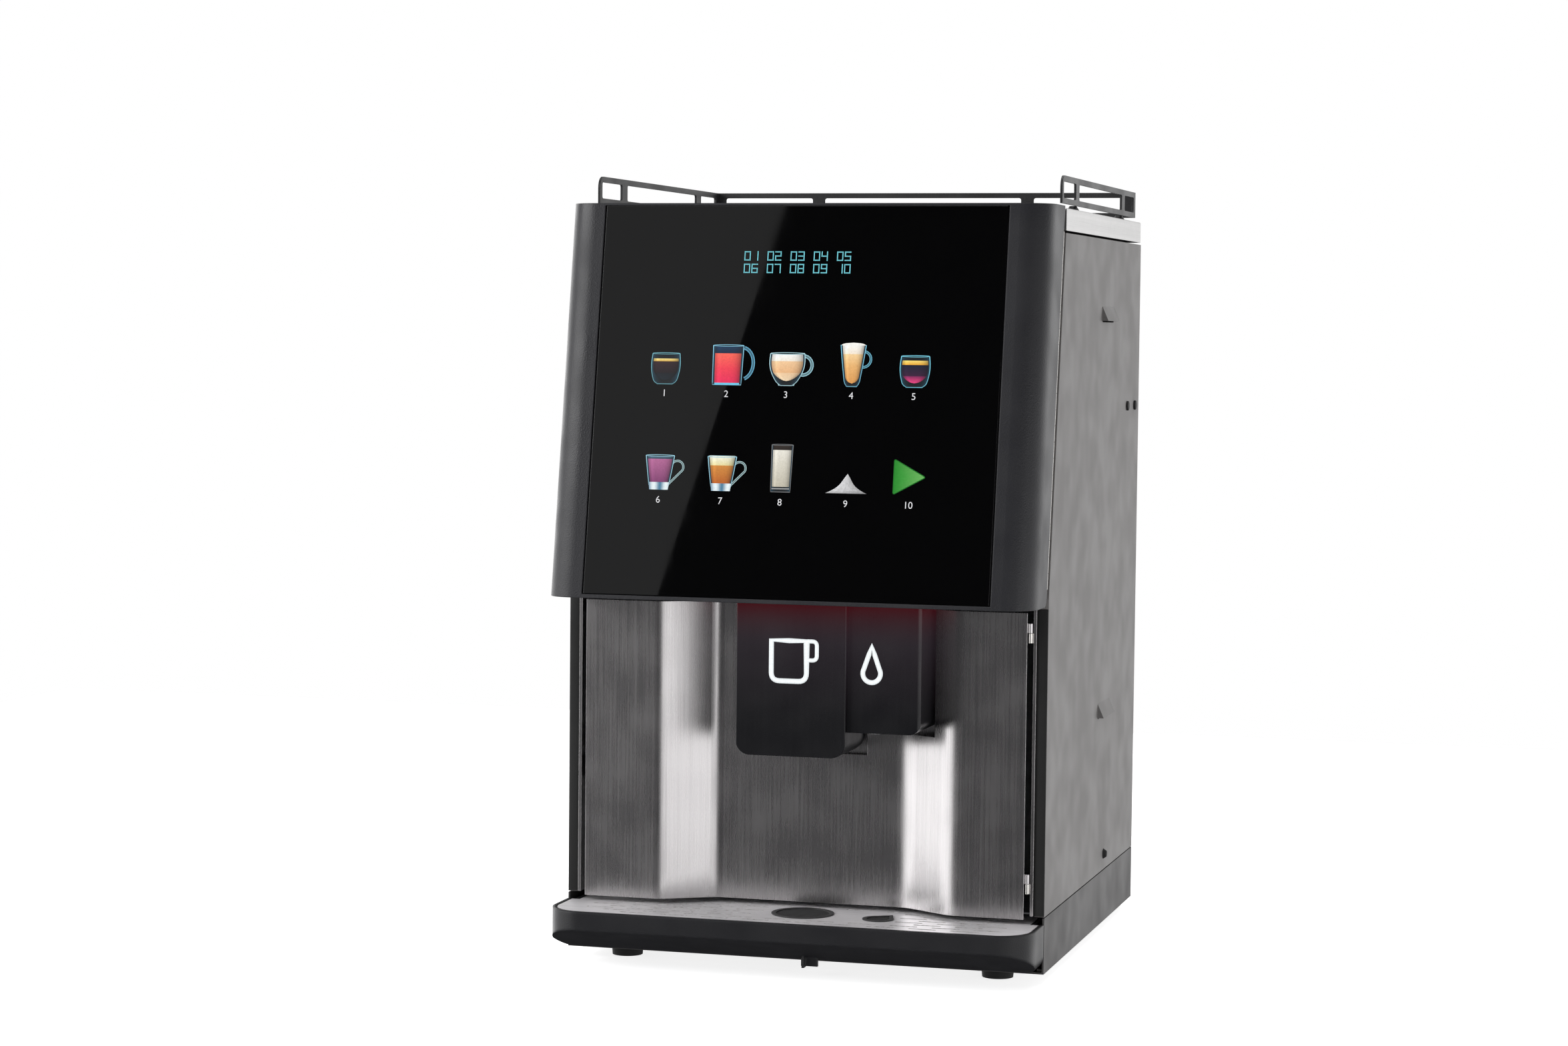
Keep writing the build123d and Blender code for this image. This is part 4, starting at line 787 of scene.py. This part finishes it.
def number_label(text, centre, foot, height):
    """Figures printed on the glass, as a mesh on its plane."""
    curve = bpy.data.curves.new("figures", "FONT")
    curve.body = text
    curve.size = 1.0
    curve.align_x = "CENTER"
    holder = bpy.data.objects.new("figures", curve)
    bpy.context.scene.collection.objects.link(holder)
    bpy.context.view_layer.update()
    flat = bpy.data.meshes.new_from_object(holder)
    size = height / max(v.co.y for v in flat.vertices)
    points = [on_glass(centre + v.co.x * size, foot + v.co.y * size, PRINT_LIFT) for v in flat.vertices]
    faces = [tuple(p.vertices) for p in flat.polygons]
    bpy.data.objects.remove(holder)
    return points, faces


def key_numbers():
    """The numbers 1 to 10 under the keys, in white."""
    parts = []
    for number in range(len(KEYS)):
        centre = COLUMNS[number % 5] * MM
        foot = ROWS[number // 5][1] * MM
        parts.append(number_label(str(number + 1), centre, foot, NUMBER_HEIGHT * MM))
    points, faces = join(parts)
    made = piece("key_numbers", points, faces, "lit_print", "door", "front_glass")
    white = made.data.color_attributes.new("paint", "FLOAT_COLOR", "POINT")
    white.data.foreach_set("color", [c for _ in points for c in (*linear(225, 225, 228), 1.0)])
    return made


key_numbers()


# Dot display: two lines of figures

SEGMENTS = {
    "top": [(c, 6) for c in range(5)],
    "middle": [(c, 3) for c in range(5)],
    "foot": [(c, 0) for c in range(5)],
    "left_high": [(0, r) for r in range(3, 7)],
    "left_low": [(0, r) for r in range(4)],
    "right_high": [(4, r) for r in range(3, 7)],
    "right_low": [(4, r) for r in range(4)],
}
FIGURES = (
    "top foot left_high left_low right_high right_low",
    "right_high right_low",
    "top middle foot right_high left_low",
    "top middle foot right_high right_low",
    "middle left_high right_high right_low",
    "top middle foot left_high right_low",
    "top middle foot left_high left_low right_low",
    "top right_high right_low",
    "top middle foot left_high left_low right_high right_low",
    "top middle foot left_high right_high right_low",
)
DISPLAY_LINES = ("01 02 03 04 05", "06 07 08 09 10")
DISPLAY_MIDDLE = -3.2
DISPLAY_FEET = (588.2, 578.0)
DOT = 1.12
DOT_WIDE = 0.86
DIGIT_PITCH = 6.54


def dot_display():
    """Cyan dots of both display lines."""
    drawing = Drawing(on_glass, DISPLAY_MIDDLE * MM, 0)
    cyan = linear(128, 226, 240)
    square = ((0, 0), (DOT_WIDE, 0), (DOT_WIDE, DOT_WIDE), (0, DOT_WIDE))
    for text, foot in zip(DISPLAY_LINES, DISPLAY_FEET):
        for position, letter in enumerate(text):
            if letter == " ":
                continue
            left = (position - len(text) / 2) * DIGIT_PITCH + 0.4
            dots = {dot for name in FIGURES[int(letter)].split() for dot in SEGMENTS[name]}
            for column, row in sorted(dots):
                u = left + column * DOT
                v = foot + row * DOT
                drawing.faces.append(tuple(drawing.point(u + a, v + b, cyan) for a, b in square))
    return drawing.finish("display_dots")


dot_display()


# Lit signs on the dispense head

HEAD_GLOW = 1.15
SIGN_LAYER = 0.02
SIGN_CROWN = 0.5
CUP_SIGN = (-1.2, 243.7)
DROP_SIGN = (67.2, 244.6)


def head_sign_paint(across, along):
    """White light, brightest along the middle of the stroke."""
    bright = 1 - 0.42 * abs(across * 2 - 1) ** 2
    return tuple(c * bright * HEAD_GLOW for c in (0.93, 0.98, 1.0))


def cup_sign():
    """Line drawing of a cup with a handle, raised a little from the cover."""
    face = on_front(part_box("cup_unit_cover")[0].y)
    drawing = Drawing(face, CUP_SIGN[0] * MM, CUP_SIGN[1] * MM, SIGN_LAYER)
    width, height, line = 34.0, 37.3, 4.2
    half = (width - line) / 2
    top, foot = height - line / 2, line / 2
    body = rounded([(-half, top), (-half, foot), (half, foot), (half, top)], 7.0)[7:21]
    outline = [(0, top), (-half, top)] + body + [(half, top)]
    drawing.stroke(outline, line, head_sign_paint, closed=True, crown=SIGN_CROWN)
    grip = [(half + 0.5, top), (half + 8.6, top), (half + 8.6, top - 15.5), (half + 0.5, top - 15.5)]
    curve = rounded(grip, 4.5)[7:21]
    drawing.stroke([grip[0]] + curve + [grip[3]], line * 0.8, head_sign_paint, crown=SIGN_CROWN)
    return drawing.finish("cup_sign", "cabinet")


def drop_sign():
    """Line drawing of a drop with a pointed top."""
    face = on_front(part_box("water_unit_cover")[0].y)
    drawing = Drawing(face, DROP_SIGN[0] * MM, DROP_SIGN[1] * MM, SIGN_LAYER)
    round_part = arc((0, 9.4), 7.4, 152, 388, 26)
    tip = (0, 31.5)
    left = [between(tip, round_part[0], share) for share in (0.0, 0.35, 0.7)]
    right = [between(round_part[-1], tip, share) for share in (0.3, 0.65)]
    drawing.stroke(left + round_part + right, 4.0, head_sign_paint, closed=True, crown=SIGN_CROWN)
    return drawing.finish("drop_sign", "cabinet")


cup_sign()
drop_sign()


# Black edge strips on the front flanges of the side panels, beside the bright trims


def edge_strip(side):
    """Black strip with a crowned face, from the base to the foot of the door."""
    low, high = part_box("corner_trims")
    inner = high.x + 0.0002
    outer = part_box("base_pan")[1].x - 0.0003
    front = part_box("side_panel_right")[0].y
    rings = []
    for share in (0.0, 0.08, 0.3, 0.5, 0.7, 0.92, 1.0):
        crown = 0.0006 * (1 - abs(share * 2 - 1) ** 4)
        rings.append((side * (inner + (outer - inner) * share), front - crown))
    points = []
    heights = [low.z + (high.z - low.z) * row / 20 for row in range(21)]
    for height in heights:
        points += [(x, y, height) for x, y in rings]
    faces = []
    count = len(rings)
    for row in range(20):
        for column in range(count - 1):
            start = row * count + column
            faces.append((start, start + 1, start + count + 1, start + count))
    return points, faces


piece("edge_strips", *join([edge_strip(1), edge_strip(-1)]), "rubber_black", "cabinet", smooth=True)


# Fixings on the back: screws down both edges of the rear panel and a blank rating plate


def lathed(centre, profile, sides=20, lobes=0):
    """Turned shape that faces the back: (radius, height, lobe depth) in millimetres, from its middle out."""
    points = [(centre[0], centre[1] + profile[0][1] * MM, centre[2])]
    for radius, height, lobe in profile[1:]:
        for step in range(sides):
            turn = 2 * math.pi * step / sides
            reach = (radius + lobe * math.cos(turn * lobes)) * MM
            points.append((centre[0] + reach * math.cos(turn), centre[1] + height * MM,
                           centre[2] + reach * math.sin(turn)))
    faces = [(0, 1 + (step + 1) % sides, 1 + step) for step in range(sides)]
    for ring in range(len(profile) - 2):
        for step in range(sides):
            a = 1 + ring * sides + step
            b = 1 + ring * sides + (step + 1) % sides
            faces.append((a, b, b + sides, a + sides))
    return points, faces


SCREW = ((0, 0.5, 0), (0.75, 0.5, 0.2), (0.8, 1.5, 0.2), (1.5, 1.55, 0), (2.3, 1.3, 0),
         (2.9, 0.8, 0), (3.0, 0.0, 0))
SCREW_MARGIN = 0.006
SCREW_ROWS = 6


def rear_screws():
    """Domed screws with star sockets."""
    low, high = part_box("rear_panel")
    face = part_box("side_panel_right")[1].y
    parts = []
    for side in (low.x + SCREW_MARGIN, high.x - SCREW_MARGIN):
        for row in range(SCREW_ROWS):
            share = (row + 0.35) / (SCREW_ROWS - 0.3)
            parts.append(lathed((side, face, low.z + (high.z - low.z) * share), SCREW, 24, 6))
    return piece("rear_screws", *join(parts), "hinge_steel", "cabinet", smooth=True)


def rating_plate():
    """Blank aluminium plate with rounded corners, a raised rim and four rivets."""
    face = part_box("side_panel_right")[1].y
    middle = Vector((0.0, face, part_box("mains_inlet")[1].z + 0.032))
    half_width, half_height = 32.0, 19.0
    rings = ((0.0, 0.0, 3.0), (0.0, 0.7, 3.0), (1.2, 0.7, 2.4), (1.7, 0.35, 2.2))
    points = []
    for inset, height, radius in rings:
        wide, tall = half_width - inset, half_height - inset
        corners = [(wide, tall), (-wide, tall), (-wide, -tall), (wide, -tall)]
        outline = rounded(corners, radius)
        points += [(middle.x + u * MM, middle.y + height * MM, middle.z + v * MM) for u, v in outline]
    count = len(points) // len(rings)
    faces = []
    for ring in range(len(rings) - 1):
        for step in range(count):
            a = ring * count + step
            b = ring * count + (step + 1) % count
            faces.append((a, b, b + count, a + count))
    faces.append(tuple(range(len(points) - count, len(points))))
    rivet = ((0, 1.3, 0), (0.9, 1.15, 0), (1.4, 0.7, 0), (1.5, 0.3, 0))
    parts = [(points, faces)]
    for u in (-half_width + 5, half_width - 5):
        for v in (-half_height + 5, half_height - 5):
            parts.append(lathed((middle.x + u * MM, middle.y, middle.z + v * MM), rivet, 14))
    return piece("rating_plate", *join(parts), "plate_metal", "cabinet", "hinge_steel")


rear_screws()
rating_plate()


# Contents seen when the lid is up: beans in the hopper and powder in the canisters


def bean_shape():
    """One roasted bean in millimetres: oval, flat on top with a groove along it."""
    rings, sides = 7, 10
    points = []
    for ring in range(rings + 1):
        lift = math.pi * ring / rings
        for step in range(sides):
            turn = 2 * math.pi * step / sides
            x = 4.9 * math.cos(lift)
            y = 3.4 * math.sin(lift) * math.cos(turn)
            z = 2.8 * math.sin(lift) * math.sin(turn)
            if z > 0:
                z = 0.62 * z - 0.9 * math.exp(-(y / 0.7) ** 2) * math.sin(lift)
            points.append(Vector((x, y, z)))
    faces = []
    for ring in range(rings):
        for step in range(sides):
            a = ring * sides + step
            b = ring * sides + (step + 1) % sides
            faces.append((a, b, b + sides, a + sides))
    return points, faces


BEAN_DEPTH = 0.042
BEAN_STEP = 7.2 * MM
HOPPER_WALL = 11 * MM


def beans():
    """Uneven bed of beans across the hopper."""
    low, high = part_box("bean_hopper")
    level = high.z - BEAN_DEPTH
    shape, shape_faces = bean_shape()
    parts = []
    for layer in range(2):
        columns = int((high.x - low.x - 2 * HOPPER_WALL) / BEAN_STEP)
        rows = int((high.y - low.y - 2 * HOPPER_WALL) / BEAN_STEP)
        for column in range(columns + 1):
            for row in range(rows + 1):
                x = low.x + HOPPER_WALL + BEAN_STEP * column + random.uniform(-1.5, 1.5) * MM
                y = low.y + HOPPER_WALL + BEAN_STEP * row + random.uniform(-1.5, 1.5) * MM
                heap = 7 * MM * math.sin(math.pi * column / columns) * math.sin(math.pi * row / rows)
                z = level + heap + 3.4 * MM * layer + random.uniform(-1.2, 1.2) * MM
                turn = Matrix.Rotation(random.uniform(0, math.tau), 4, "Z")
                turn @= Matrix.Rotation(random.gauss(0, 0.5), 4, "X")
                turn @= Matrix.Rotation(random.gauss(0, 0.35), 4, "Y")
                if random.random() < 0.5:
                    turn @= Matrix.Rotation(math.pi, 4, "X")
                spot = Vector((x, y, z))
                parts.append(([tuple(spot + turn @ (point * MM)) for point in shape], shape_faces))
    return piece("coffee_beans", *join(parts), "bean_brown", "cabinet", "clear_plastic", smooth=True)


POWDER_HALF = 26.5 * MM
POWDER_FOOT = 446 * MM
LID_TO_POWDER = 6.5 * MM
POWDER_FILLS = (
    ("auger_1", 546, "milk_powder"),
    ("auger_2", 522, "cocoa_powder"),
    ("auger_3", 535, "sugar_grains"),
)


def powder(auger, top, finish):
    """Loose fill of one canister, its top raked by earlier servings."""
    low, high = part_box(auger)
    middle = (low.x + high.x) / 2
    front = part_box("canister_lids")[0].y + LID_TO_POWDER
    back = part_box("canister_lids")[1].y - LID_TO_POWDER
    columns, rows = 16, 44
    points = []
    phase = random.uniform(0, math.tau)
    for row in range(rows + 1):
        for column in range(columns + 1):
            u, v = column / columns, row / rows
            dip = 9 * math.exp(-((v - 0.25) / 0.16) ** 2) * math.sin(math.pi * u)
            swell = 2.5 * math.sin(v * 9 + phase) + 1.5 * math.sin(u * 7 + v * 5)
            rough = random.uniform(-0.5, 0.5)
            points.append((middle + (u * 2 - 1) * POWDER_HALF, front + (back - front) * v,
                           (top - dip + swell + rough) * MM))
    faces = []
    wide = columns + 1
    for row in range(rows):
        for column in range(columns):
            a = row * wide + column
            faces.append((a, a + 1, a + wide + 1, a + wide))
    edge = list(range(wide))
    edge += [row * wide + columns for row in range(1, rows + 1)]
    edge += [rows * wide + column for column in range(columns - 1, -1, -1)]
    edge += [row * wide for row in range(rows - 1, 0, -1)]
    start = len(points)
    points += [(points[index][0], points[index][1], POWDER_FOOT) for index in edge]
    for number, index in enumerate(edge):
        after = (number + 1) % len(edge)
        faces.append((index, start + number, start + after, edge[after]))
    faces.append(tuple(reversed(range(start, start + len(edge)))))
    return piece("powder_" + auger, points, faces, finish, "cabinet", "clear_plastic")


beans()
for auger, top, finish in POWDER_FILLS:
    powder(auger, top, finish)


# Studio: the glass card's upper inner corner as X and Z, then the camera's place and turns in degrees

CARD_CORNER = (-0.8475, 1.293)
CARD_DISTANCE = 2.7
CARD_HALF = 0.3
CARD_HEIGHT = 1.6
CARD_TILT = 12.2
LENS = 78.094
CAMERA_PLACE = (0.740271, -2.878853, 0.529239)
HEADING = 15.672
LOOK_DOWN = 3.197
CAMERA_ROLL = 0.581


def floor_material():
    """Pale matt floor paint."""
    made = bpy.data.materials.new("floor_paint")
    made.use_nodes = True
    tree = made.node_tree
    shader = tree.nodes["Principled BSDF"]
    tone = blend_colour(tree, noise(tree, 6.0), (0.93, 0.93, 0.93), (0.96, 0.96, 0.96))
    link(tree, tone, shader.inputs["Base Color"])
    shader.inputs["Roughness"].default_value = 0.9
    shader.inputs["Specular IOR Level"].default_value = 0.1
    shader.inputs["Emission Color"].default_value = (1, 1, 1, 1)
    shader.inputs["Emission Strength"].default_value = 0.8
    return made


def floor():
    """Large flat floor under the machine, its front edge close before the machine."""
    steps = 12
    x_reach, front, back = 1.6, -1.4, 1.6
    points = []
    faces = []
    for row in range(steps + 1):
        for column in range(steps + 1):
            x = -x_reach + 2 * x_reach * column / steps
            y = front + (back - front) * row / steps
            points.append((x, y, 0.0))
    for row in range(steps):
        for column in range(steps):
            start = row * (steps + 1) + column
            faces.append((start, start + 1, start + steps + 2, start + steps + 1))
    data = bpy.data.meshes.new("floor")
    data.from_pydata(points, [], faces)
    made = bpy.data.objects.new("floor", data)
    bpy.context.scene.collection.objects.link(made)
    data.materials.append(floor_material())
    made.visible_glossy = False
    made.visible_shadow = False
    return made


def softbox(name, centre, target, width, height, radiance, roll=0.0):
    """Rectangular studio light aimed at a point, its power set by how bright its face looks."""
    data = bpy.data.lights.new(name, "AREA")
    data.shape = "RECTANGLE"
    data.size = width
    data.size_y = height
    data.energy = radiance * math.pi * width * height
    made = bpy.data.objects.new(name, data)
    bpy.context.scene.collection.objects.link(made)
    centre = Vector(centre)
    turn = (Vector(target) - centre).to_track_quat("-Z", "Y").to_matrix().to_4x4()
    made.matrix_world = Matrix.Translation(centre) @ turn @ Matrix.Rotation(math.radians(roll), 4, "Z")
    made.visible_camera = False
    return made


def wall_light(name, azimuth, distance, width, radiance, height=3.0, middle=0.7):
    """Upright softbox round the object: azimuth 0 is straight in front and 90 is to the right."""
    turn = math.radians(azimuth)
    centre = (distance * math.sin(turn), -distance * math.cos(turn), middle)
    return softbox(name, centre, (0.0, 0.0, middle), width, height, radiance)


def studio():
    """Soft walls of light round the object, a card for the glass, and a white surround for the camera."""
    wall_light("front_right_wall", 38, 3.3, 3.0, 1.12, height=1.5, middle=0.05)
    wall_light("right_wall", 80, 2.6, 3.0, 1.25, height=1.6, middle=0.1)
    wall_light("back_right_wall", 132, 2.8, 2.0, 1.5)
    wall_light("back_wall", 168, 3.2, 2.4, 0.8)
    wall_light("left_wall", -72, 2.6, 3.8, 1.65, height=1.5, middle=0.05)
    wall_light("high_left_wall", -56, 2.7, 2.4, 6.0, height=1.2, middle=1.45)
    wall_light("back_left_wall", -130, 2.8, 2.2, 2.6)
    wall_light("front_fill", -20, 3.5, 1.6, 0.02, height=1.5, middle=0.05)
    softbox("top_softbox", (0.3, 0.4, 2.4), (0.0, 0.0, 0.0), 2.0, 2.0, 2.0)
    softbox("front_top_softbox", (-0.2, -1.9, 2.5), (0.0, -0.2, 0.2), 1.6, 1.0, 2.2)
    tilt = math.radians(CARD_TILT)
    card_x = CARD_CORNER[0] - math.cos(tilt) * CARD_HALF
    card_z = CARD_CORNER[1] + math.sin(tilt) * CARD_HALF
    card = (card_x, -CARD_DISTANCE, card_z)
    softbox("glass_card", card, (card_x, 0.0, card_z), 2 * CARD_HALF, CARD_HEIGHT, 0.43, roll=-CARD_TILT)
    world = bpy.data.worlds.new("studio")
    world.use_nodes = True
    tree = world.node_tree
    tree.nodes.clear()
    seen = add(tree, "Background")
    seen.inputs["Color"].default_value = (1, 1, 1, 1)
    room = add(tree, "Background")
    room.inputs["Color"].default_value = (0.03, 0.03, 0.032, 1)
    choose = add(tree, "MixShader")
    link(tree, add(tree, "LightPath").outputs["Is Camera Ray"], choose.inputs["Fac"])
    link(tree, room.outputs["Background"], choose.inputs[1])
    link(tree, seen.outputs["Background"], choose.inputs[2])
    link(tree, choose.outputs["Shader"], add(tree, "OutputWorld").inputs["Surface"])
    bpy.context.scene.world = world
    bpy.context.scene.view_settings.view_transform = "Standard"


def camera():
    """Camera well back, to the right of the front and a little above the middle, with a long lens."""
    data = bpy.data.cameras.new("camera")
    data.sensor_width = 36.0
    data.lens = LENS
    made = bpy.data.objects.new("camera", data)
    bpy.context.scene.collection.objects.link(made)
    heading = Matrix.Rotation(math.radians(HEADING), 4, "Z")
    pitch = Matrix.Rotation(math.radians(90 - LOOK_DOWN), 4, "X")
    roll = Matrix.Rotation(math.radians(CAMERA_ROLL), 4, "Z")
    made.matrix_world = Matrix.Translation(CAMERA_PLACE) @ heading @ pitch @ roll
    bpy.context.scene.camera = made


floor()
studio()
camera()
